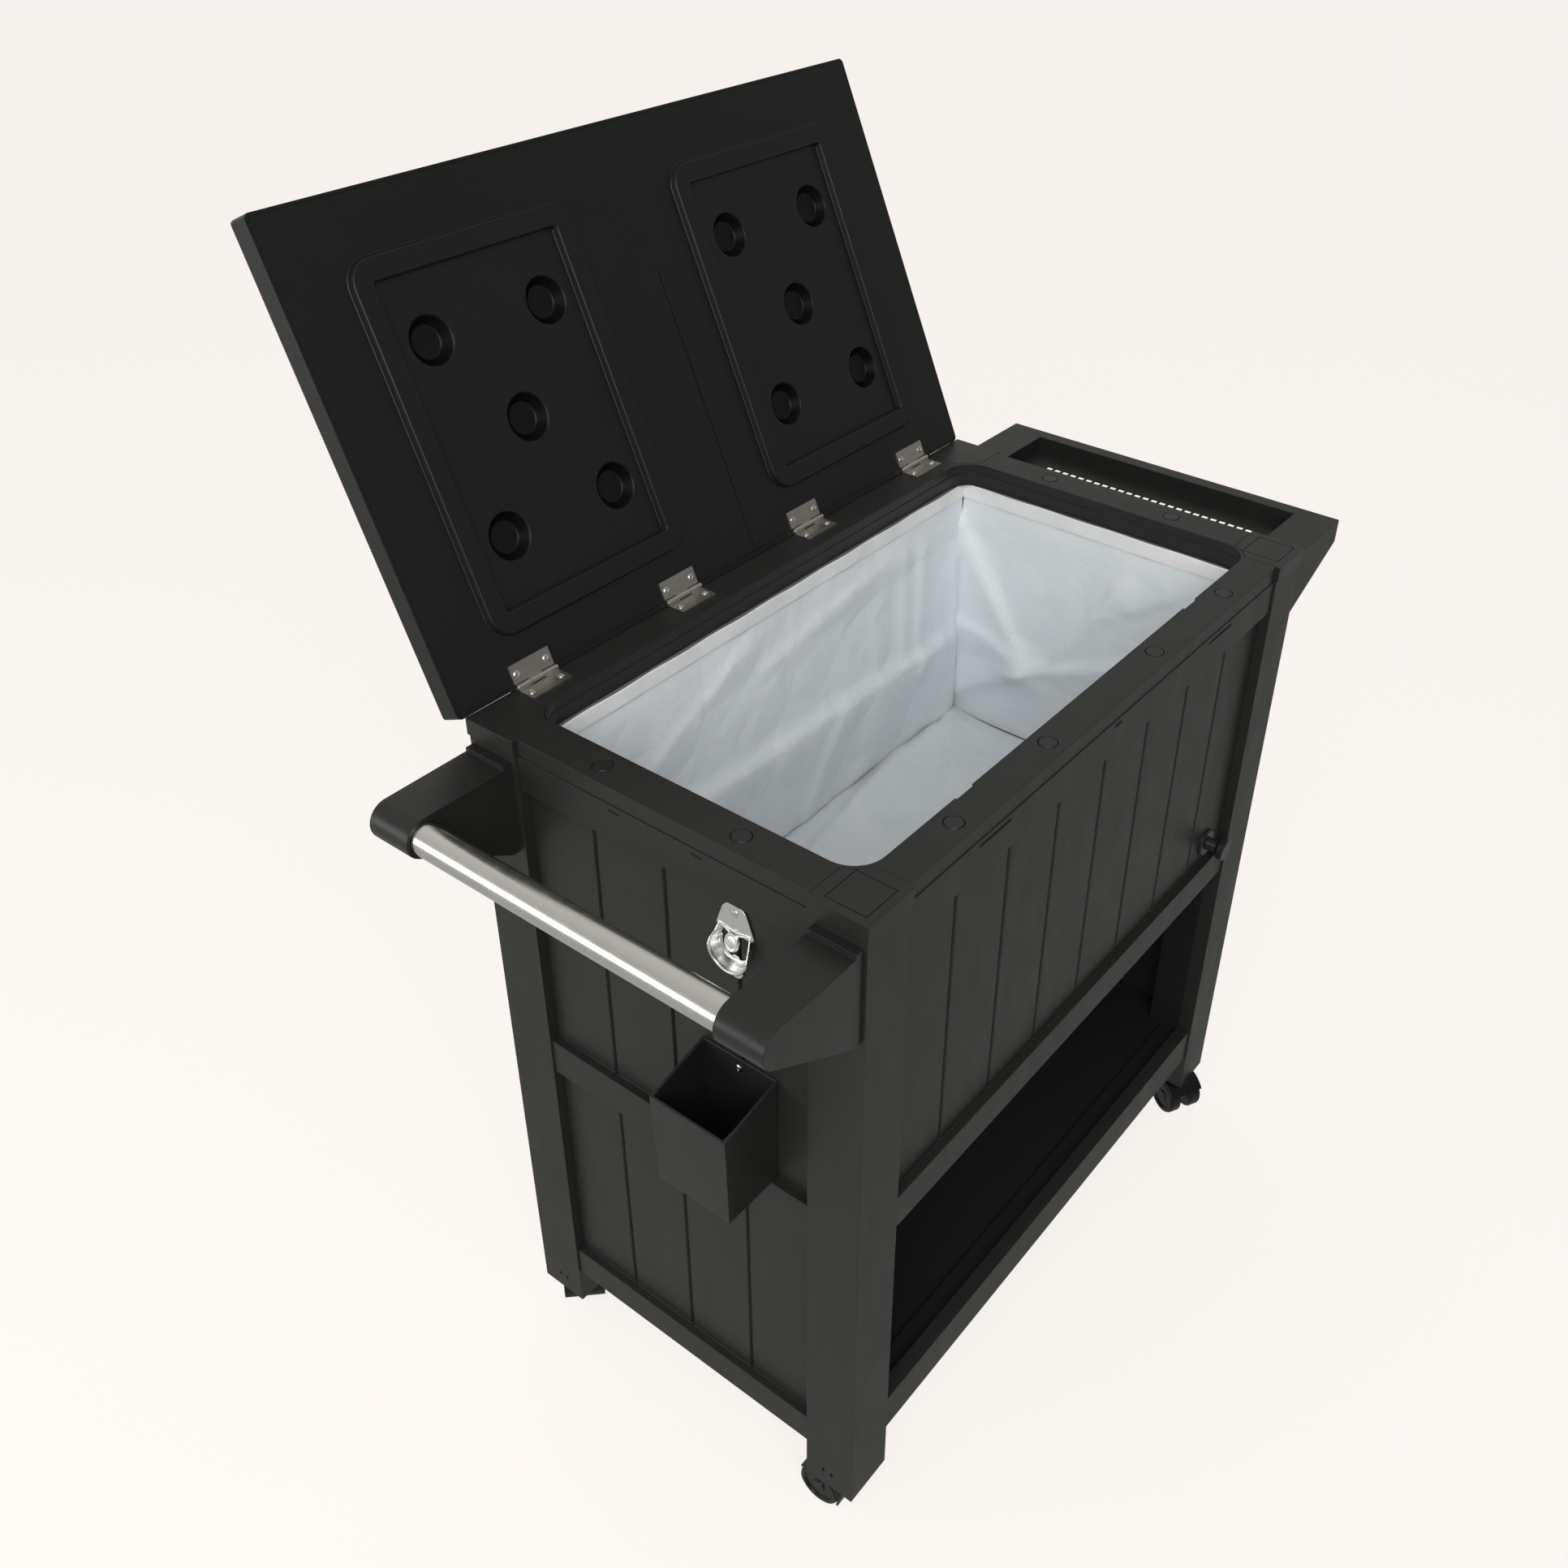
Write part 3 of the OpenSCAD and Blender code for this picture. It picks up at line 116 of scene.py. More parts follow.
class PlasticSettings(bpy.types.PropertyGroup):
    """The black mouldings."""
    body_tone: FloatVectorProperty(name="Body", description="Colour of the posts, panels and rim",
                                   default=(0.0180, 0.0184, 0.0166), subtype="COLOR", min=0, max=1)
    lid_tone: FloatVectorProperty(name="Lid", description="Colour of the lid",
                                  default=(0.0095, 0.0098, 0.0092), subtype="COLOR", min=0, max=1)
    trim_tone: FloatVectorProperty(name="Trim", description="Colour of the plugs and the drain",
                                   default=(0.016, 0.016, 0.015), subtype="COLOR", min=0, max=1)
    caster_tone: FloatVectorProperty(name="Casters", description="Colour of the wheels and hoods",
                                     default=(0.008, 0.008, 0.008), subtype="COLOR", min=0, max=1)
    satin: FloatProperty(name="Satin", description="Roughness of the body's plastic", default=0.46,
                         min=0, max=1, subtype="FACTOR")
    grain: FloatProperty(name="Grain", description="Depth of the moulding's fine grain",
                         default=0.000014, unit="LENGTH", precision=6)
    flow: FloatProperty(name="Flow", description="Depth of the slow waves in a moulded wall",
                        default=0.00035, unit="LENGTH", precision=5)
    edge: FloatProperty(name="Edge radius", description="Radius of the mouldings' edges",
                        default=0.0008, unit="LENGTH", precision=4)
    lid_edge: FloatProperty(name="Lid edge radius", description="Radius of the lid's edges",
                            default=0.0011, unit="LENGTH", precision=4)


class MetalSettings(bpy.types.PropertyGroup):
    """Bar, hinges, screws and opener."""
    bar_tone: FloatVectorProperty(name="Bar", description="Colour of the handle bar",
                                  default=(0.70, 0.68, 0.64), subtype="COLOR", min=0, max=1)
    hinge_tone: FloatVectorProperty(name="Hinge", description="Colour of the hinges",
                                    default=(0.62, 0.58, 0.53), subtype="COLOR", min=0, max=1)
    screw_tone: FloatVectorProperty(name="Screw", description="Colour of the screws",
                                    default=(0.72, 0.71, 0.69), subtype="COLOR", min=0, max=1)
    opener_tone: FloatVectorProperty(name="Opener", description="Colour of the bottle opener",
                                     default=(0.80, 0.79, 0.77), subtype="COLOR", min=0, max=1)
    brushing: FloatProperty(name="Brushing", description="Depth of the bar's brushing",
                            default=0.000003, unit="LENGTH", precision=6)


class LinerSettings(bpy.types.PropertyGroup):
    """The fabric bag in the tub."""
    cloth: FloatVectorProperty(name="Cloth", description="Colour of the liner",
                               default=(0.825, 0.86, 0.885), subtype="COLOR", min=0, max=1)
    cell: FloatProperty(name="Cell", description="Side of the cloth's cells", default=0.0056,
                        unit="LENGTH")
    slack: FloatProperty(name="Slack", description="How much larger the cloth is than the tub",
                         default=0.004, min=0, max=0.05, subtype="FACTOR")
    hem: FloatProperty(name="Hem", description="Height of the hem", default=0.02, unit="LENGTH")
    thick: FloatProperty(name="Thickness", description="Thickness of the cloth", default=0.0009,
                         unit="LENGTH", precision=4)
    frames: IntProperty(name="Frames", description="Steps of the cloth simulation", default=24,
                        min=1)


class OpenerSettings(bpy.types.PropertyGroup):
    """Bottle opener and screw heads."""
    voxel: FloatProperty(name="Voxel", description="Grid on which the opener's parts are fused",
                         default=0.0005, unit="LENGTH", precision=5)
    recess: FloatProperty(name="Recess", description="Width of a screw's cross recess",
                          default=0.0009, unit="LENGTH", precision=4)


# Shader maths

class Wire:
    """A shader output; sums, differences and products of it add Math nodes."""

    def __init__(self, tree, socket=None):
        self.tree = tree
        self.socket = socket

    def node(self, kind, settings=None, sockets=None, out=0):
        """Adds a node: its settings first, then the values or links of its sockets."""
        made = self.tree.nodes.new(kind)
        for key, value in (settings or {}).items():
            setattr(made, key, value)
        for key, value in (sockets or {}).items():
            if isinstance(value, Wire):
                self.tree.links.new(value.socket, made.inputs[key])
            else:
                made.inputs[key].default_value = value
        return Wire(self.tree, made.outputs[out] if made.outputs else None)

    def math(self, operation, first, second=0.0):
        return self.node("ShaderNodeMath", {"operation": operation}, {0: first, 1: second})

    def __add__(self, other):
        return self.math("ADD", self, other)

    def __sub__(self, other):
        return self.math("SUBTRACT", self, other)

    def __rsub__(self, other):
        return self.math("SUBTRACT", other, self)

    def __mul__(self, other):
        return self.math("MULTIPLY", self, other)

    __radd__ = __add__
    __rmul__ = __mul__

    def over(self, other):
        """1 where this wire is greater than the other, 0 elsewhere."""
        return self.math("GREATER_THAN", self, other)

    def under(self, other):
        """1 where this wire is less than the other, 0 elsewhere."""
        return self.math("LESS_THAN", self, other)

    def between(self, low, high):
        return self.over(low) * self.under(high)

    def at_most(self, other):
        return self.math("MINIMUM", self, other)

    def clamped(self):
        """This wire, kept from 0 to 1."""
        return self.math("MAXIMUM", self, 0.0).at_most(1.0)

    def blend(self, low, high):
        """A colour from low, where this wire is 0, to high, where it is 1."""
        return self.node("ShaderNodeMix", {"data_type": "RGBA"}, {0: self, 6: low, 7: high}, out=2)

    def axes(self):
        """The three parts of this vector."""
        split = self.node("ShaderNodeSeparateXYZ", None, {0: self}).socket.node
        return [Wire(self.tree, part) for part in split.outputs]

    def bump(self):
        """The normal of a surface that this wire raises, in metres."""
        return self.node("ShaderNodeBump", None, {"Strength": 1.0, "Distance": 1.0, "Height": self})

    def place(self):
        """The place in the object's frame, which is the cart's."""
        return self.node("ShaderNodeTexCoord", out="Object")

    def noise(self, scale, detail=2.0, stretch=(1, 1, 1)):
        """Noise of scale grains a metre, stretched along the axes."""
        place = self.node("ShaderNodeMapping", None, {"Vector": self.place(), "Scale": stretch})
        return self.node("ShaderNodeTexNoise", None,
                         {"Vector": place, "Scale": scale, "Detail": detail})


def empty_tree(owner):
    """The wire of a material's or a world's emptied node tree."""
    owner.use_nodes = True
    owner.node_tree.nodes.clear()
    return Wire(owner.node_tree)


def shades(tone, spread):
    """A darker and a lighter colour round a tone."""
    return [tuple(c * k for c in tone) + (1.0,) for k in (1 - spread, 1 + spread)]


# Finishes

FINISHES = {}
UNLIT = (0.003, 0.003, 0.003, 1.0)       # painted shade on the bay's insides and in the lid's dimples
LID_BORDER = 0.060                       # from the inner panel's edges to where its dimples may be
DIMPLE_LIP = 0.0015                      # depth at which a dimple's wall gets its full painted shade
DIMPLE_FLOOR = 0.0094                    # depth at which its floor starts, with less painted shade
WALL_DARK, FLOOR_DARK = 0.87, 0.42       # shares of painted shade there
SEAM = 0.0044                            # reach of the liner's seams from the tub's walls
# colour of the seams: their stitching and the shade in them, painted
SEAM_STITCH_AND_SHADE = (0.24, 0.26, 0.28, 1.0)
HEM_TONE = (0.93, 0.925, 0.915, 1.0)
THREAD = 0.0011                          # pitch of the liner's weave
FOOT_SHADE = 0.84                              # painted shade: how bright the liner's foot is, as a share of its top
FACETS = ((8.0, 0.0075), (19.0, 0.0022))     # folded facets: how many a metre, and their height


def finish(name, sockets, shadow=None):
    """Makes the material of a slot, one principled shader; sockets is made from the tree's wire,
    and so is shadow, the share of the surface where shade is painted by a plain dark shader."""
    material = bpy.data.materials.new(name)
    wire = empty_tree(material)
    shader = wire.node("ShaderNodeBsdfPrincipled", None, sockets(wire), out="BSDF")
    if shadow:
        dark = wire.node("ShaderNodeBsdfDiffuse", None, {"Color": UNLIT}, out="BSDF")
        shader = wire.node("ShaderNodeMixShader", None, {0: shadow(wire), 1: shader, 2: dark},
                           out="Shader")
    wire.node("ShaderNodeOutputMaterial", None, {"Surface": shader})
    FINISHES[name] = material


def in_bay(wire):
    """1 on the insides of the lower bay, 0 elsewhere; there shade is painted into the plastic's
    colour and it is made rougher.
    """
    low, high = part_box("shelf")
    high.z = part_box("tub_board")[0].z
    x, y, z = wire.place().axes()
    return (x.between(low.x - MM, high.x + MM) * y.between(low.y - MM, high.y + MM)
            * z.between(low.z - MM, high.z + MM))


def in_dimples(wire):
    """How much shade is painted: near 1 on the steep walls of the lid's dimples, less on their
    floors, 0 elsewhere.
    """
    faces = frame["nodes"]["lid_inner_panel"].data.polygons
    face = max((f for f in faces if f.normal.y < -0.5), key=lambda f: f.area)
    low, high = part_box("lid_inner_panel")
    x, y, z = wire.place().axes()
    depth = face.center.dot(face.normal) - (y * face.normal.y + z * face.normal.z)
    sunk = (depth * (1 / DIMPLE_LIP)).clamped()
    wall = ((DIMPLE_FLOOR - depth) * (1 / MM)).clamped()
    return (sunk * (wall * (WALL_DARK - FLOOR_DARK) + FLOOR_DARK)
            * x.between(low.x + LID_BORDER, high.x - LID_BORDER)
            * z.between(low.z + LID_BORDER, high.z - LID_BORDER))


def in_seams(wire):
    """1 where two walls of the liner meet, 0 elsewhere: the seams, whose stitching and the shade in
    them are painted dark.
    """
    low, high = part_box("liner")
    x, y, z = wire.place().axes()
    walls = (x.under(low.x + SEAM) + x.over(high.x - SEAM) + y.under(low.y + SEAM)
             + y.over(high.y - SEAM) + z.under(low.z + SEAM))
    return walls.over(1.5)


def plastic(name, tone, rough, grain, flow, shine=0.36, shadow=None):
    """Moulded plastic: fine grain, slow waves and clouds, handling marks, and painted shade on the
    rougher insides of the bay.
    """
    def sockets(wire):
        clouds = wire.noise(7.0, 3.0)
        smears = wire.noise(38.0, 5.0, (1, 1, 0.35))
        fine = wire.noise(850.0)
        bay = in_bay(wire)
        mottled = (clouds * 0.7 + fine * 0.3).blend(*shades(tone, 0.16))
        # painted shade: the bay's insides are coloured near black
        return {"Base Color": bay.blend(mottled, UNLIT),
                "Roughness": rough + (smears - 0.5) * 0.16 + (fine - 0.5) * 0.08 + bay * 0.4,
                "IOR": 1.48, "Specular IOR Level": shine,
                "Normal": (fine * grain + clouds * flow).bump()}
    finish(name, sockets, shadow)


def steel(name, tone, rough, scale, stretch, depth, smudge=0.12):
    """Worked steel: lines of a scale, stretched along the axes, and faint smudges."""
    def sockets(wire):
        lines = wire.noise(scale, 3.0, stretch)
        smudges = wire.noise(45.0, 4.0)
        return {"Base Color": (lines * 0.6 + smudges * 0.4).blend(*shades(tone, 0.10)),
                "Metallic": 1.0,
                "Roughness": rough + (lines - 0.5) * 0.12 + (smudges - 0.5) * smudge,
                "Normal": (lines * depth).bump()}
    finish(name, sockets)


def foam_board(name, tone):
    """Closed-cell foam with its small bubbles."""
    def sockets(wire):
        cells = wire.node("ShaderNodeTexVoronoi", None, {"Vector": wire.place(), "Scale": 420.0})
        return {"Base Color": cells.blend(*shades(tone, 0.08)), "Roughness": 0.9,
                "Normal": (cells * 0.0003).bump()}
    finish(name, sockets)


def coated_cloth(name, tone, hem):
    """Coated plain weave on the piece's own UV map, which is in metres; greyer towards the tub's
    floor with painted shade, whiter on the hem, dark in the seams with their stitching and painted
    shade, with the straight-edged facets of folded cloth."""
    foot, rim = (corner.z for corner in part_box("liner"))

    def sockets(wire):
        u, v, _ = wire.node("ShaderNodeUVMap", {"uv_map": "cloth"}).axes()
        warp, weft = (wire.math("SINE", at * (2 * math.pi / THREAD)) for at in (u, v))
        weave = warp * weft
        clouds = wire.noise(9.0, 4.0)
        crumple = wire.noise(60.0, 3.0)
        place = wire.place()
        up = place.axes()[2]
        rise = ((up - foot) * (1 / (0.6 * (rim - foot)))).clamped()
        band = (up + clouds * 0.003).over(rim - hem + 0.0015)
        facets = sum(wire.node("ShaderNodeTexVoronoi", {"feature": "DISTANCE_TO_EDGE"},
                               {"Vector": place, "Scale": scale}).at_most(0.3) * fold
                     for scale, fold in FACETS)
        # painted shade: the liner is darker towards the tub's floor
        shaded_foot = shades([c * FOOT_SHADE for c in tone], 0.05)
        low, high = (rise.blend(*pair) for pair in zip(shaded_foot, shades(tone, 0.05)))
        sheet = (clouds * 0.75 + weave * 0.12 + 0.12).blend(low, high)
        # the seams' stitching and the shade in them are painted dark
        sheet = in_seams(wire).blend(sheet, SEAM_STITCH_AND_SHADE)
        return {"Base Color": band.blend(sheet, HEM_TONE),
                "Roughness": 0.52 + (crumple - 0.5) * 0.14 + weave * 0.05,
                "Sheen Weight": 0.15,
                "Normal": (weave * 0.00003 + crumple * 0.0011 + facets).bump()}
    finish(name, sockets)


def make_finishes():
    """Makes the cart's materials, by the record's slot names."""
    black = bpy.context.scene.cart_plastic
    metal = bpy.context.scene.cart_metal
    liner = bpy.context.scene.cart_liner
    grain, flow = black.grain, black.flow
    plastic("body_plastic", black.body_tone, black.satin, grain, flow)
    plastic("cap_plastic", black.body_tone, black.satin - 0.03, grain, flow * 0.5)
    # the lid's dimples get painted shade
    plastic("lid_plastic", black.lid_tone, 0.38, grain * 0.7, flow * 1.3, shadow=in_dimples)
    plastic("trim_plastic", black.trim_tone, 0.36, grain * 0.6, flow)
    plastic("caster_plastic", black.caster_tone, 0.3, grain * 0.4, flow * 0.5, shine=0.25)
    steel("bar_steel", metal.bar_tone, 0.22, 900.0, (0.03, 1, 0.03), metal.brushing)
    steel("hinge_steel", metal.hinge_tone, 0.34, 420.0, (0.12, 1, 1), 0.00001)
    steel("screw_steel", metal.screw_tone, 0.24, 500.0, (1, 1, 1), 0.000006)
    steel("opener_chrome", metal.opener_tone, 0.27, 160.0, (1, 1, 1), 0.00001, smudge=0.08)
    foam_board("foam", (0.27, 0.29, 0.30))
    coated_cloth("liner_cloth", liner.cloth, liner.hem)


# Meshes

WELD = 0.000004      # CAD points closer than this are one
FLAT = 0.4           # degrees by which the triangles of one flat face may turn
ALONG, ACROSS = 1.6, 2.4     # an edge's length and its faces' breadth, in radii, for a rounding


def add(name, data):
    """A new object in the scene."""
    ob = bpy.data.objects.new(name, data)
    bpy.context.scene.collection.objects.link(ob)
    return ob


def add_mesh(name, bm):
    """A new object in the scene whose mesh is a bmesh, which it uses up."""
    mesh = bpy.data.meshes.new(name)
    bm.to_mesh(mesh)
    bm.free()
    return add(name, mesh)


def apply_modifiers(ob):
    """Gives a piece the mesh that its modifiers make, and removes them."""
    graph = bpy.context.evaluated_depsgraph_get()
    mesh = bpy.data.meshes.new_from_object(ob.evaluated_get(graph))
    old = ob.data
    ob.modifiers.clear()
    ob.data = mesh
    bpy.data.meshes.remove(old)


def take_draft(draft):
    """A bmesh of a draft as its modifiers shape it; the draft itself goes."""
    apply_modifiers(draft)
    bm = bmesh.new()
    bm.from_mesh(draft.data)
    bpy.data.objects.remove(draft)
    return bm


def piece(name, bm, slot, body, nodes, sharp=40.0):
    """Makes a bmesh a piece that rides on a body and stands for CAD nodes."""
    for face in bm.faces:
        face.smooth = True
    for edge in bm.edges:
        edge.smooth = (len(edge.link_faces) == 2
                       and edge.calc_face_angle(0.0) < math.radians(sharp))
    ob = add_mesh(name, bm)
    ob.data.materials.append(FINISHES[slot])
    ob.modifiers.new("Shading", "WEIGHTED_NORMAL").keep_sharp = True
    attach(ob, body)
    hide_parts(*nodes)


def dress(*nodes):
    """Gives CAD nodes that keep their shape the finish of their slot."""
    for node in nodes:
        ob = frame["nodes"][node]
        for holder in ob.material_slots:
            holder.material = FINISHES[SLOTS[node]]
        if not ob.material_slots:
            ob.data.materials.append(FINISHES[SLOTS[node]])


def cad_copy(node):
    """A bmesh of a CAD node, its loose triangles joined and its flat faces made whole."""
    bm = bmesh.new()
    bm.from_mesh(frame["nodes"][node].data)
    bmesh.ops.remove_doubles(bm, verts=bm.verts, dist=WELD)
    bmesh.ops.dissolve_limit(bm, angle_limit=math.radians(FLAT), verts=bm.verts, edges=bm.edges)
    return bm


def breadth(face, edge):
    """How far a face reaches from one of its edges."""
    start = edge.verts[0].co
    along = (edge.verts[1].co - start).normalized()
    reach = [v.co - start for v in face.verts]
    return max((r - r.dot(along) * along).length for r in reach)


def crisp_edges(bm, radius, angle):
    """Edges that turn by more than an angle and have room for a rounding of a radius."""
    chosen = []
    for edge in bm.edges:
        if len(edge.link_faces) != 2 or edge.calc_length() < ALONG * radius:
            continue
        if edge.calc_face_angle(0.0) < math.radians(angle):
            continue
        if min(breadth(face, edge) for face in edge.link_faces) > ACROSS * radius:
            chosen.append(edge)
    return chosen


def soften(node, radius, angle=38.0, segments=2):
    """Adds a copy of a CAD node with its crisp edges rounded, which stands for it."""
    bm = cad_copy(node)
    bmesh.ops.bevel(bm, geom=crisp_edges(bm, radius, angle), offset=radius, offset_type="OFFSET",
                    segments=segments, profile=0.5, affect="EDGES", material=-1,
                    clamp_overlap=False)
    piece(node + "_moulding", bm, SLOTS[node], frame["nodes"][node]["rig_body"], [node])


def tube(bm, points, radius):
    """Adds a capped round tube along a smooth curve through control points."""
    curve = bpy.data.curves.new("tube", "CURVE")
    curve.dimensions = "3D"
    curve.bevel_depth = radius
    curve.bevel_resolution = 4
    curve.use_fill_caps = True
    spline = curve.splines.new("NURBS")
    spline.points.add(len(points) - 1)
    for slot, point in zip(spline.points, points):
        slot.co = (*point, 1.0)
    spline.order_u = min(4, len(points))
    spline.use_endpoint_u = True
    spline.resolution_u = 8
    ob = add("tube", curve)
    graph = bpy.context.evaluated_depsgraph_get()
    mesh = bpy.data.meshes.new_from_object(ob.evaluated_get(graph))
    bm.from_mesh(mesh)
    bpy.data.objects.remove(ob)
    bpy.data.curves.remove(curve)
    bpy.data.meshes.remove(mesh)


def raise_plate(bm, outline, shift):
    """Adds the solid that a flat outline sweeps over a shift."""
    foot = bm.faces.new([bm.verts.new(spot) for spot in outline])
    grown = bmesh.ops.extrude_face_region(bm, geom=[foot], use_keep_orig=True)["geom"]
    risen = [g for g in grown if isinstance(g, bmesh.types.BMVert)]
    bmesh.ops.translate(bm, verts=risen, vec=shift)


def hull_of_discs(bm, discs, low, high):
    """Adds the plate that wraps round discs, each an x, a y and a radius, between two heights."""
    spots = [(x + r * math.cos(k * math.pi / 24), y + r * math.sin(k * math.pi / 24))
             for x, y, r in discs for k in range(48)]
    outline = [(*spots[k], low) for k in convex_hull_2d(spots)]
    raise_plate(bm, outline, (0, 0, high - low))


def sheet_strip(bm, rows, thick):
    """Adds a solid strip of sheet: rows of (x, y, z, outward x, outward y) pairs, foot and rim."""
    rings = []
    for foot, rim in rows:
        ring = []
        for x, y, z, out_x, out_y in (foot, rim):
            ring.append(bm.verts.new((x, y, z)))
            ring.append(bm.verts.new((x + out_x * thick, y + out_y * thick, z)))
        rings.append((ring[0], ring[1], ring[3], ring[2]))
    for one, two in zip(rings, rings[1:]):
        for k in range(4):
            bm.faces.new((one[k], one[k - 1], two[k - 1], two[k]))
    bm.faces.new(rings[0])
    bm.faces.new(reversed(rings[-1]))


def arc_bar(bm, section, centre, start, turn, steps):
    """Adds a solid bar: a flat section of (radius, height) corners swept round a centre."""
    side = (math.cos(start), math.sin(start))
    face = bm.faces.new([bm.verts.new((centre[0] + r * side[0], centre[1] + r * side[1], z))
                         for r, z in section])
    bmesh.ops.spin(bm, geom=[face, *face.edges, *face.verts], cent=(*centre, 0), axis=(0, 0, 1),
                   angle=turn, steps=steps)


# The liner: creases are (wall, from, to, depth, width on one side, width on the other), in
# millimetres; a place is along the wall from the tub's middle, and up from its floor

CREASES = (
    ("rear", (300, 132), (-330, 152), 8, 9, 70),
    ("rear", (205, 300), (-20, 258), 4, 10, 34),
    ("rear", (259, 275), (257, 120), 4, 9, 26),
    ("rear", (222, 285), (228, 160), 3, 7, 20),
    ("rear", (-60, 300), (-210, 225), 3, 10, 30),
    ("rear", (90, 120), (40, 20), 3, 9, 28),
    ("rear", (-150, 110), (-235, 30), 3, 9, 28),
    ("right", (184, 285), (70, 113), 7, 5, 55),
    ("right", (70, 113), (-75, 172), 7, 6, 36),
    ("right", (70, 113), (160, 50), 5, 8, 26),
    ("right", (184, 152), (92, 128), 4, 6, 24),
    ("right", (26, 154), (-35, 255), 6, 7, 26),
    ("right", (-70, 120), (-140, 60), 4, 8, 24),
    ("right", (-100, 270), (-40, 230), 3, 8, 22),
    ("left", (-180, 285), (-60, 120), 6, 6, 46),
    ("left", (-60, 120), (80, 165), 6, 6, 34),
    ("left", (70, 90), (160, 40), 4, 8, 24),
    ("front", (-290, 140), (250, 150), 7, 9, 60),
    ("front", (-210, 290), (20, 250), 4, 10, 32),
    ("front", (120, 110), (190, 20), 4, 8, 26),
    ("floor", (335, 180), (205, 92), 5, 6, 30),
    ("floor", (335, 182), (110, 158), 5, 7, 24),
    ("floor", (215, 178), (5, 142), 5, 8, 26),
    ("floor", (88, 140), (60, 62), 4, 7, 24),
    ("floor", (150, 60), (40, -40), 4, 8, 26),
    ("floor", (-20, 120), (-120, 30), 5, 8, 30),
    ("floor", (-140, 165), (-260, 60), 4, 8, 26),
    ("floor", (-330, -170), (-200, -60), 5, 7, 28),
)

INWARD = {"right": Vector((-1, 0, 0)), "left": Vector((1, 0, 0)), "rear": Vector((0, -1, 0)),
          "front": Vector((0, 1, 0)), "floor": Vector((0, 0, 1))}
LINER_WALL = 0.0014      # from the CAD liner's faces to the bag
SLAB = 0.04              # thickness of the slabs that the cloth falls against
STITCH = 0.002           # rows of cells beside the hem's edges
PINNED = 0.003           # how far under the hem the cloth is held
SMOOTHINGS = 14          # passes that take out the simulation's fine pleats
HEM_GAP = 0.006          # under the hem, where these passes leave the cloth alone
SEAM_GAP = 0.015         # from a seam to where the cloth hangs as it settled
CALM = 0.03              # under the hem, where the creases grow to their full height
SWELL = 0.0022           # how far the cloth stands off a wall between its seams
HEM_SWELL = 0.0014       # how far the hem stands off further, and its slow wave
HEM_WAVE = 0.0006
GAIN = 1.5               # height of a crease as a multiple of its depth in the list
FADE = 0.022             # reach of a crease past its ends, with a tenth of its wide side


def walls_of(point, half):
    """The walls that a point of the flat bag lies on: two on a seam, three in a corner."""
    gaps = {"right": half.x - point.x, "left": point.x + half.x, "rear": half.y - point.y,
            "front": point.y + half.y, "floor": point.z}
    return {name for name, gap in gaps.items() if gap < MM / 2}


def on_wall(name, point):
    """A point's two distances on a wall."""
    if name == "floor":
        return Vector((point.x, point.y))
    return Vector((point.y if name in ("left", "right") else point.x, point.z))


def crease_rise(flat, crease):
    """How far one crease lifts the cloth at a place on its wall."""
    start, end = (Vector(p) * MM for p in crease[1:3])
    depth, tight, wide = (n * MM for n in crease[3:])
    along = end - start
    t = (flat - start).dot(along) / along.length_squared
    off = (flat - start).cross(along.normalized())
    past = max(-t, t - 1, 0) * along.length
    width = tight if off > 0 else wide
    fade = math.exp(-(past / (FADE + 0.1 * wide)) ** 2)
    return GAIN * depth * fade * math.exp(-(abs(off) / width) ** 1.3)


def grid_bag(half, height, cell, hem):
    """An open-topped box of cells from a cube, its floor at zero, with rows at hem and seams."""
    bm = bmesh.new()
    middle = Vector((0, 0, height / 2))
    size = Matrix.Diagonal((2 * half.x, 2 * half.y, height, 1))
    bmesh.ops.create_cube(bm, size=1.0, matrix=Matrix.Translation(middle) @ size)
    top = [f for f in bm.faces if f.normal.z > 0.5]
    bmesh.ops.delete(bm, geom=top, context="FACES_ONLY")
    for axis, length in enumerate((2 * half.x, 2 * half.y, height)):
        edges = [e for e in bm.edges if abs((e.verts[0].co - e.verts[1].co)[axis]) > cell]
        cuts = round(length / cell) - 1
        bmesh.ops.subdivide_edges(bm, edges=edges, cuts=cuts, use_grid_fill=True)
    drops = (STITCH, hem - STITCH, hem, hem + STITCH)
    rows = [((0, 0, height - drop), (0, 0, 1)) for drop in drops]
    rows += [((0, 0, SEAM), (0, 0, 1))]
    rows += [((s * (half.x - SEAM), 0, 0), (1, 0, 0)) for s in (-1, 1)]
    rows += [((0, s * (half.y - SEAM), 0), (0, 1, 0)) for s in (-1, 1)]
    for spot, normal in rows:
        geom = [*bm.verts, *bm.edges, *bm.faces]
        bmesh.ops.bisect_plane(bm, geom=geom, plane_co=spot, plane_no=normal)
    bmesh.ops.recalc_face_normals(bm, faces=bm.faces)
    outward = [f for f in bm.faces if f.normal.dot(middle - f.calc_center_median()) < 0]
    bmesh.ops.reverse_faces(bm, faces=outward)
    return bm


def cloth_map(bm):
    """A UV map in metres, each wall laid out flat by itself."""
    layer = bm.loops.layers.uv.new("cloth")
    for face in bm.faces:
        side = face.normal
        for loop in face.loops:
            p = loop.vert.co
            if abs(side.z) > 0.5:
                loop[layer].uv = (p.x, p.y)
            elif abs(side.x) > 0.5:
                loop[layer].uv = (p.y, p.z)
            else:
                loop[layer].uv = (p.x, p.z)


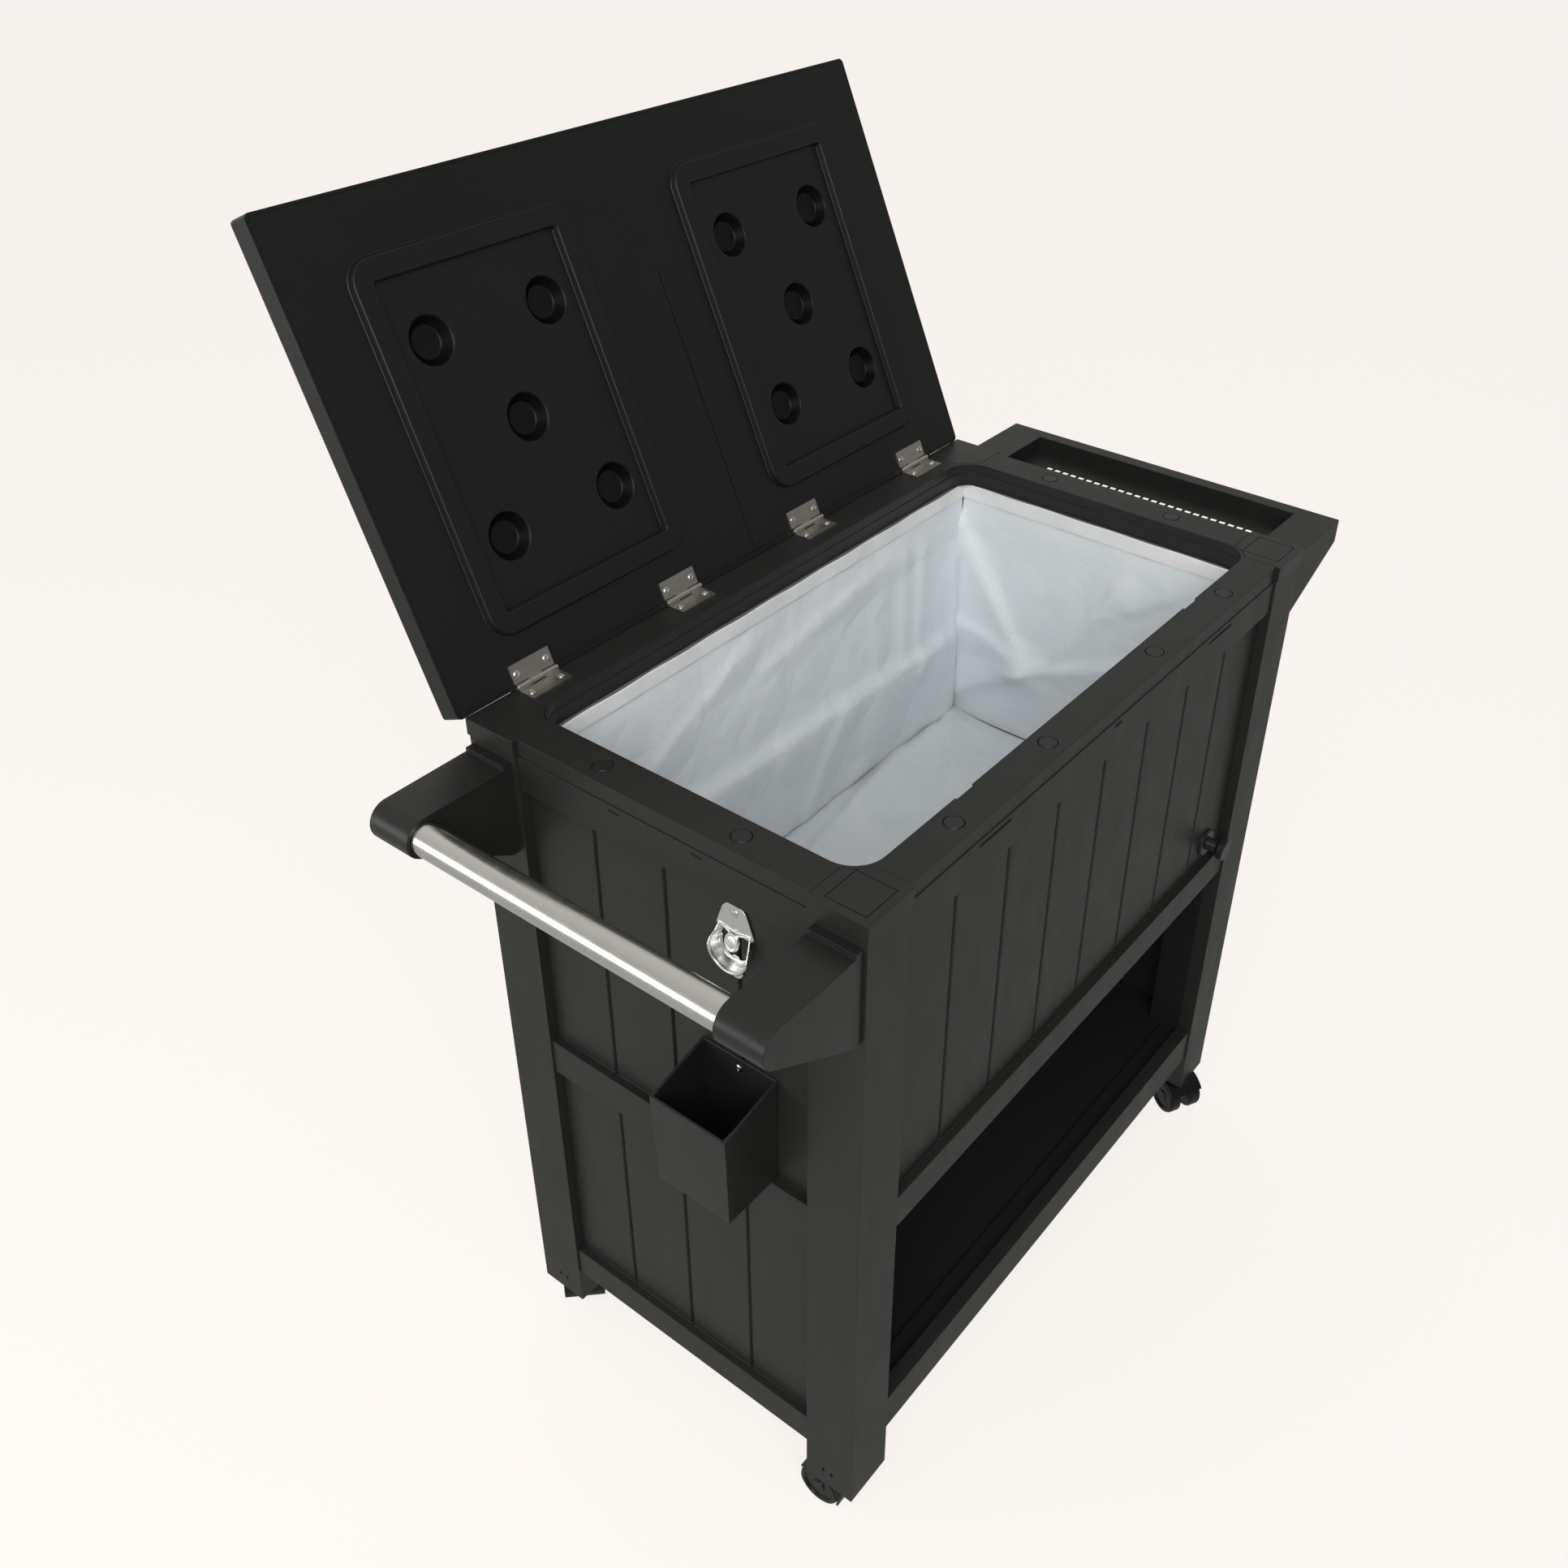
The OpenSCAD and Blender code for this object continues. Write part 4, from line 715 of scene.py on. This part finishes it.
def tub_walls(half, height):
    """Slabs round the bag that the cloth falls against."""
    reach = Vector((half.x + SLAB, half.y + SLAB, height / 2 + SLAB))
    slabs = []
    for axis, sign in ((0, -1), (0, 1), (1, -1), (1, 1), (2, -1)):
        size = 2 * reach
        size[axis] = SLAB
        spot = Vector((0, 0, height / 2))
        spot[axis] += sign * ((half.x, half.y, height / 2)[axis] + SLAB / 2)
        bm = bmesh.new()
        shape = Matrix.Translation(spot) @ Matrix.Diagonal((*size, 1))
        bmesh.ops.create_cube(bm, size=1.0, matrix=shape)
        slab = add_mesh("slab", bm)
        slab.modifiers.new("Collision", "COLLISION")
        slab.collision.thickness_outer = 0.001
        slab.collision.cloth_friction = 8.0
        slabs.append(slab)
    return slabs


def settle(bag, half, height, liner):
    """Lets the slack cloth fall against the tub's walls, pinned by its hem."""
    held = bag.vertex_groups.new(name="hem")
    pinned = [v.index for v in bag.data.vertices if v.co.z > height - liner.hem - PINNED]
    held.add(pinned, 1.0, "REPLACE")
    slabs = tub_walls(half, height)
    cloth = bag.modifiers.new("Cloth", "CLOTH")
    cloth.settings.quality = 6
    cloth.settings.mass = 0.25
    cloth.settings.tension_stiffness = 30
    cloth.settings.compression_stiffness = 30
    cloth.settings.shear_stiffness = 12
    cloth.settings.bending_stiffness = 8.0
    cloth.settings.air_damping = 3
    cloth.settings.shrink_min = -liner.slack
    cloth.settings.vertex_group_mass = "hem"
    cloth.collision_settings.distance_min = 0.001
    for step in range(1, liner.frames + 1):
        bpy.context.scene.frame_set(step)
    apply_modifiers(bag)
    bpy.context.scene.frame_set(1)
    for slab in slabs:
        bpy.data.objects.remove(slab)


def relax(bm, verts, factor):
    """Smooths some of a mesh's points once."""
    bmesh.ops.smooth_vert(bm, verts=verts, factor=factor, use_axis_x=True, use_axis_y=True,
                          use_axis_z=True)


def crease(bag, half, height, flat_places, hem):
    """Presses the liner's folds, seams and hem into the settled cloth and keeps it in the tub."""
    bm = bmesh.new()
    bm.from_mesh(bag.data)
    gaps = [sorted((half.x - abs(flat.x), half.y - abs(flat.y), flat.z))[1] for flat in flat_places]
    inner = [v for v, flat, gap in zip(bm.verts, flat_places, gaps)
             if flat.z < height - hem - HEM_GAP and gap > 1.5 * SEAM]
    for _ in range(SMOOTHINGS):
        relax(bm, inner, 0.5)
    for vert, flat, gap in zip(bm.verts, flat_places, gaps):
        vert.co = flat.lerp(vert.co, min(1.0, gap / SEAM_GAP))
        walls = walls_of(flat, half)
        below = height - flat.z
        calm = min(1.0, max(0.0, (below - hem) / CALM))
        for name in walls:
            spot = on_wall(name, flat)
            rise = sum(crease_rise(spot, c) for c in CREASES if c[0] == name) * calm
            if name != "floor" and below < hem:
                rise += HEM_SWELL + HEM_WAVE * math.sin(spot.x * 70.0)
            if len(walls) == 1:
                rise += SWELL
            vert.co += INWARD[name] * rise
        vert.co.x = max(-half.x, min(half.x, vert.co.x))
        vert.co.y = max(-half.y, min(half.y, vert.co.y))
        vert.co.z = max(0.0, min(height, vert.co.z))
    relax(bm, inner, 0.2)
    bm.to_mesh(bag.data)
    bm.free()


# Operators

class CART_OT_stage(bpy.types.Operator):
    """Camera, pale floor, room light and softboxes"""
    bl_idname = "cart.stage"
    bl_label = "Studio"

    def execute(self, context):
        studio = context.scene.cart_studio
        context.scene.view_settings.view_transform = "Standard"
        camera = bpy.data.cameras.new("camera")
        camera.lens = studio.lens
        camera.sensor_width = 36.0
        camera.shift_x, camera.shift_y = studio.shift
        eye = add("camera", camera)
        eye.location = studio.place
        eye.rotation_euler = studio.turn
        context.scene.camera = eye
        self.floor(studio)
        self.room(context, studio)
        self.softbox("overhead", studio.overhead, size=(2.6, 2.6), place=(-2.2, -1.75, 2.8),
                     aim=(0.0, 0.0, 0.7))
        self.softbox("side", studio.side, size=(2.2, 1.1), place=(-2.7, 1.35, 0.95),
                     aim=(0.0, 0.0, 0.8))
        return {"FINISHED"}

    def floor(self, studio):
        """Pale floor: its own colour to the camera and in reflections, lit cloth to the rest."""
        bm = bmesh.new()
        bmesh.ops.create_grid(bm, x_segments=2, y_segments=2, size=30.0)
        ground = add_mesh("floor", bm)
        material = bpy.data.materials.new("floor")
        wire = empty_tree(material)
        tone = wire.noise(3.0).blend(*shades(studio.backdrop, 0.01))
        lit = wire.node("ShaderNodeBsdfDiffuse", None, {"Color": tone})
        seen, mirrored, through = (wire.node("ShaderNodeLightPath", out=f"Is {ray} Ray")
                                   for ray in ("Camera", "Glossy", "Transmission"))
        strength = seen * (studio.lift + 1.0 - studio.mirror) + studio.mirror
        tone = seen.blend(NEUTRAL, (*studio.backdrop, 1.0))
        glow = wire.node("ShaderNodeEmission", None, {"Color": tone, "Strength": strength})
        share = (seen * FLOOR_GLOW + mirrored + through).at_most(1.0)
        mixed = wire.node("ShaderNodeMixShader", None, {0: share, 1: lit, 2: glow})
        wire.node("ShaderNodeOutputMaterial", None, {"Surface": mixed})
        ground.data.materials.append(material)

    def room(self, context, studio):
        """A room that is pale behind the cart and dark behind the camera."""
        world = bpy.data.worlds.new("room")
        wire = empty_tree(world)
        context.scene.world = world
        x, y, z = wire.node("ShaderNodeTexCoord", out="Generated").axes()
        facing = (x * 0.1 + y * 0.35 + z * 0.1 + 0.5).clamped()
        level = wire.math("POWER", facing, 2.0) * (studio.bright - studio.dim) + studio.dim
        seen = wire.node("ShaderNodeLightPath", out="Is Camera Ray")
        strength = seen + (1.0 - seen) * level
        tone = seen.blend(NEUTRAL, (*studio.backdrop, 1.0))
        sky = wire.node("ShaderNodeBackground", None, {"Color": tone, "Strength": strength})
        wire.node("ShaderNodeOutputWorld", None, {"Surface": sky})

    def softbox(self, name, power, size, place, aim):
        """A lamp of a size that stands at a place and points at another."""
        lamp = bpy.data.lights.new(name, "AREA")
        lamp.energy = power
        lamp.shape = "RECTANGLE"
        lamp.size, lamp.size_y = size
        box = add(name, lamp)
        box.location = place
        box.rotation_euler = (Vector(aim) - Vector(place)).to_track_quat("-Z", "Y").to_euler()


class CART_OT_body(bpy.types.Operator):
    """Posts, caps, rim, panels, shelf and the hidden boards"""
    bl_idname = "cart.body"
    bl_label = "Body mouldings"

    def execute(self, context):
        edge = context.scene.cart_plastic.edge
        for corner in CORNERS:
            soften("post_" + corner, edge)
            soften("cap_" + corner, edge)
        for node in ("rim_frame", "front_panel", "rear_panel", "left_panel", "right_panel", "shelf",
                     "shelf_rail_front", "shelf_rail_rear"):
            soften(node, edge)
        dress("rim_plugs", "tub_board", "foam_front", "foam_rear", "foam_left", "foam_right",
              "foam_floor")
        return {"FINISHED"}


class CART_OT_lid(bpy.types.Operator):
    """Lid shell, inner panel with its raised frames, and the hinges"""
    bl_idname = "cart.lid"
    bl_label = "Lid and hinges"

    def execute(self, context):
        edge = context.scene.cart_plastic.lid_edge
        soften("lid_shell", edge, segments=3)
        soften("lid_inner_panel", edge, angle=28.0)
        dress("hinge_rim_leaves", "hinge_lid_leaves", "hinge_pins")
        return {"FINISHED"}


class CART_OT_fittings(bpy.types.Operator):
    """Side tray, handle, cap catcher and drain"""
    bl_idname = "cart.fittings"
    bl_label = "Tray, handle, catcher and drain"

    def execute(self, context):
        edge = context.scene.cart_plastic.edge
        for node in ("side_tray", "handle_bracket_front", "handle_bracket_rear", "cap_catcher"):
            soften(node, edge)
        dress("handle_bar", "drain_fitting", "drain_knob")
        return {"FINISHED"}


class CART_OT_casters(bpy.types.Operator):
    """Twin-wheel casters with their sleeves and stems"""
    bl_idname = "cart.casters"
    bl_label = "Casters"

    def execute(self, context):
        dress("caster_sockets", "caster_stems")
        for corner in CORNERS:
            soften("hood_" + corner, HOOD_EDGE)
            dress("axle_" + corner, "wheel_" + corner + "_a", "wheel_" + corner + "_b")
        return {"FINISHED"}


class CART_OT_liner(bpy.types.Operator):
    """Creased fabric bag that hangs in the tub"""
    bl_idname = "cart.liner"
    bl_label = "Fabric liner"

    def execute(self, context):
        liner = context.scene.cart_liner
        low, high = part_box("liner")
        half = Vector(((high.x - low.x) / 2 - LINER_WALL, (high.y - low.y) / 2 - LINER_WALL, 0))
        height = high.z - low.z - LINER_WALL
        base = Vector(((low.x + high.x) / 2, (low.y + high.y) / 2, low.z + LINER_WALL))
        bm = grid_bag(half, height, liner.cell, liner.hem)
        cloth_map(bm)
        flat_places = [v.co.copy() for v in bm.verts]
        bag = add_mesh("liner_bag", bm)
        settle(bag, half, height, liner)
        crease(bag, half, height, flat_places, liner.hem)
        bag.data.transform(Matrix.Translation(base))
        bag.data.materials.append(FINISHES["liner_cloth"])
        self.shade(bag.data, [walls_of(flat, half) for flat in flat_places])
        solid = bag.modifiers.new("Cloth thickness", "SOLIDIFY")
        solid.thickness = liner.thick
        solid.offset = -1.0
        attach(bag, "cart")
        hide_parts("liner")
        return {"FINISHED"}

    def shade(self, mesh, walls):
        """Smooth cloth with hard seams where two walls meet."""
        for face in mesh.polygons:
            face.use_smooth = True
        for edge in mesh.edges:
            one, two = (walls[k] for k in edge.vertices)
            edge.use_edge_sharp = len(one & two) > 1


# The bottle opener's shape, in millimetres: across, up from its upper screw and out from the wall

SCREW_DROP = 13.0                          # from the opener's top to its upper screw
PLATE = (0.2, 2.2)                         # back and front of the flat steel
SHIELD = ((0, -5, 15.5), (-17.5, -19, 3.5), (17.5, -19, 3.5))     # discs that the plates wrap
TAB = ((0, -66, 7.5), (0, -52, 5))
HUB = (0, -36)                             # middle of the ring and the cup
RING = (15.0, 18.4)                        # its two radii
CUP = ((16.6, 0.4), (20.8, 13.5))          # radius and height of the cup's foot and rim
LIP = (21.3, 13.2)                         # and of the roll on it
ARM = ((-17, ((15.2, 0.4), (16.4, 2.4))), (-25, ((14.2, 0.4), (18.2, 6.6))),
       (-31, ((15.6, 0.4), (20.3, 11.2))))     # half breadths and heights from shoulder to cup
SHEET = 1.7                                # thickness of cup and arms
BROW = ((-18, -17.5, 1.4), (-12, -18.5, 2.4), (-6, -21.5, 3.2), (0, -22.5, 3.6), (6, -21.5, 3.2),
        (12, -18.5, 2.4), (18, -17.5, 1.4))
SPOON = (0, -29, 6.2)
SPOON_BALLS = (((8.4, 9.6, 1.7), 0.0), ((5.0, 4.0, 2.6), 5.0))    # half sizes, and places along it
SPOON_RING = (7.0, 8.0, 1.1)


class CART_OT_opener(bpy.types.Operator):
    """Wall bottle opener: shield plate, brow, spoon tongue, side arms, flared lip and screw tab"""
    bl_idname = "cart.opener"
    bl_label = "Bottle opener"

    def execute(self, context):
        low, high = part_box("bottle_opener")
        screw = Vector((high.x, (low.y + high.y) / 2, high.z - SCREW_DROP * MM))
        bm = bmesh.new()
        self.plates(bm)
        self.cup(bm)
        self.tongue(bm)
        bmesh.ops.recalc_face_normals(bm, faces=bm.faces)
        draft = add_mesh("opener_draft", bm)
        fuse = draft.modifiers.new("Fuse", "REMESH")
        fuse.mode = "VOXEL"
        fuse.voxel_size = context.scene.cart_opener.voxel / MM
        polish = draft.modifiers.new("Polish", "SMOOTH")
        polish.factor = 0.5
        polish.iterations = 5
        bm = take_draft(draft)
        wall = Matrix(((0, 0, -1, screw.x), (-1, 0, 0, screw.y), (0, 1, 0, screw.z), (0, 0, 0, 1)))
        bmesh.ops.transform(bm, matrix=wall @ Matrix.Scale(MM, 4), verts=bm.verts)
        bmesh.ops.recalc_face_normals(bm, faces=bm.faces)
        piece("opener_stamping", bm, "opener_chrome", "cart", ["bottle_opener"], sharp=75.0)
        return {"FINISHED"}

    def plates(self, bm):
        """Shield plate above, screw tab below and the open ring between them."""
        hull_of_discs(bm, SHIELD, *PLATE)
        hull_of_discs(bm, TAB, *PLATE)
        (inner, outer), (back, front) = RING, PLATE
        arc_bar(bm, [(inner, back), (outer, back), (outer, front), (inner, front)], HUB,
                start=math.radians(-200), turn=math.radians(220), steps=40)

    def cup(self, bm):
        """Flared cup from shoulder to shoulder, its rim rolled."""
        rows = []
        rim = []
        for k in range(33):
            turn = math.radians(-180 + 180 * k / 32)
            x, y = math.cos(turn), math.sin(turn)
            rows.append([(r * x, HUB[1] + r * y, z, x, y) for r, z in CUP])
            rim.append((LIP[0] * x, HUB[1] + LIP[0] * y, LIP[1]))
        for s, ends in ((-1, rows[:1]), (1, rows[-1:])):
            arm = [[(s * x, y, z, s, 0) for x, z in pair] for y, pair in ARM]
            sheet_strip(bm, [*arm, *ends], SHEET)
        sheet_strip(bm, rows, SHEET)
        tube(bm, rim, 1.5)

    def tongue(self, bm):
        """Raised brow and the dished spoon that presses on the bottle cap."""
        tube(bm, BROW, 1.4)
        lean = Euler((math.radians(-16), 0, 0)).to_matrix().to_4x4()
        spot = Matrix.Translation(SPOON) @ lean
        for size, drop in SPOON_BALLS:
            ball = spot @ Matrix.Translation((0, drop, -drop / 4)) @ Matrix.Diagonal((*size, 1))
            bmesh.ops.create_uvsphere(bm, u_segments=32, v_segments=20, radius=1.0, matrix=ball)
        x, y, z = SPOON_RING
        ring = [Vector((x * math.cos(k * math.pi / 8), y * math.sin(k * math.pi / 8), z))
                for k in range(17)]
        tube(bm, [spot @ p for p in ring], 0.9)


CROSS_DEPTH = 0.0009     # of a screw's recess under its crown
CROSS_CUT = 0.002        # height of the cutter
CROSS_REACH = 0.55       # half a cross's length as a share of the head's radius


class CART_OT_screws(bpy.types.Operator):
    """Pan-head screws with cross recesses"""
    bl_idname = "cart.screws"
    bl_label = "Screw heads"

    def execute(self, context):
        groups = {"hinge_rim_screws": "cart", "hinge_lid_screws": "lid", "opener_screws": "cart",
                  "catcher_screw": "cart"}
        for node, body in groups.items():
            self.heads(node, body, context.scene.cart_opener.recess)
        return {"FINISHED"}

    def heads(self, node, body, width):
        """Cuts a cross into the head of each screw of a node."""
        bm = cad_copy(node)
        bmesh.ops.recalc_face_normals(bm, faces=bm.faces)
        cutter = self.crosses(self.islands(bm), width)
        draft = add_mesh("draft_" + node, bm)
        cut = draft.modifiers.new("Recess", "BOOLEAN")
        cut.operation = "DIFFERENCE"
        cut.object = cutter
        cut.solver = "EXACT"
        bm = take_draft(draft)
        bpy.data.objects.remove(cutter)
        piece(node + "_heads", bm, "screw_steel", body, [node])

    def islands(self, bm):
        """The crown, the axis and the radius of each separate screw's head."""
        found = []
        seen = set()
        for seed in bm.verts:
            if seed in seen:
                continue
            seen.add(seed)
            group = [seed]
            for vert in group:
                for edge in vert.link_edges:
                    other = edge.other_vert(vert)
                    if other not in seen:
                        seen.add(other)
                        group.append(other)
            found.append(self.head_of(group))
        return found

    def head_of(self, group):
        """A screw's crown, where most of its edges meet, the way it faces and its head's radius."""
        middle = sum((v.co for v in group), Vector()) / len(group)
        crown = max(group, key=lambda v: len(v.link_edges)).co.copy()
        axis = (crown - middle).normalized()
        radius = max(((v.co - middle) - (v.co - middle).dot(axis) * axis).length for v in group)
        return crown, axis, radius

    def crosses(self, heads, width):
        """One object of cross-shaped cutters."""
        bm = bmesh.new()
        for crown, axis, radius in heads:
            spot = Matrix.Translation(crown) @ axis.to_track_quat("Z", "Y").to_matrix().to_4x4()
            a, b = width / 2, radius * CROSS_REACH
            plan = [(b, -a), (b, a), (a, a), (a, b), (-a, b), (-a, a), (-b, a), (-b, -a),
                    (-a, -a), (-a, -b), (a, -b), (a, -a)]
            foot = [spot @ Vector((x, y, -CROSS_DEPTH)) for x, y in plan]
            raise_plate(bm, foot, axis * CROSS_CUT)
        bmesh.ops.recalc_face_normals(bm, faces=bm.faces)
        return add_mesh("crosses", bm)


class CART_PT_looks(bpy.types.Panel):
    """Lists the steps that dress the cart"""
    bl_idname = "CART_PT_looks"
    bl_label = "Bar cart"
    bl_space_type = "VIEW_3D"
    bl_region_type = "UI"
    bl_category = "Bar Cart"

    def draw(self, context):
        for step in STEPS:
            self.layout.operator(step.bl_idname)
        for name in GROUPS:
            box = self.layout.box()
            group = getattr(context.scene, name)
            for prop in group.bl_rna.properties:
                if prop.identifier not in ("rna_type", "name"):
                    box.prop(group, prop.identifier)


STEPS = (CART_OT_stage, CART_OT_body, CART_OT_lid, CART_OT_fittings, CART_OT_casters,
         CART_OT_liner, CART_OT_opener, CART_OT_screws)
GROUPS = {"cart_studio": StudioSettings, "cart_plastic": PlasticSettings,
          "cart_metal": MetalSettings, "cart_liner": LinerSettings, "cart_opener": OpenerSettings}
CLASSES = (*GROUPS.values(), *STEPS, CART_PT_looks)


def register():
    for made in CLASSES:
        bpy.utils.register_class(made)
    for name, group in GROUPS.items():
        setattr(bpy.types.Scene, name, PointerProperty(type=group))


def unregister():
    for name in GROUPS:
        delattr(bpy.types.Scene, name)
    for made in reversed(CLASSES):
        bpy.utils.unregister_class(made)


def main():
    register()
    make_finishes()
    bpy.ops.cart.stage()
    bpy.ops.cart.body()
    bpy.ops.cart.lid()
    bpy.ops.cart.fittings()
    bpy.ops.cart.casters()
    bpy.ops.cart.liner()
    bpy.ops.cart.opener()
    bpy.ops.cart.screws()


if __name__ == "__main__":
    main()
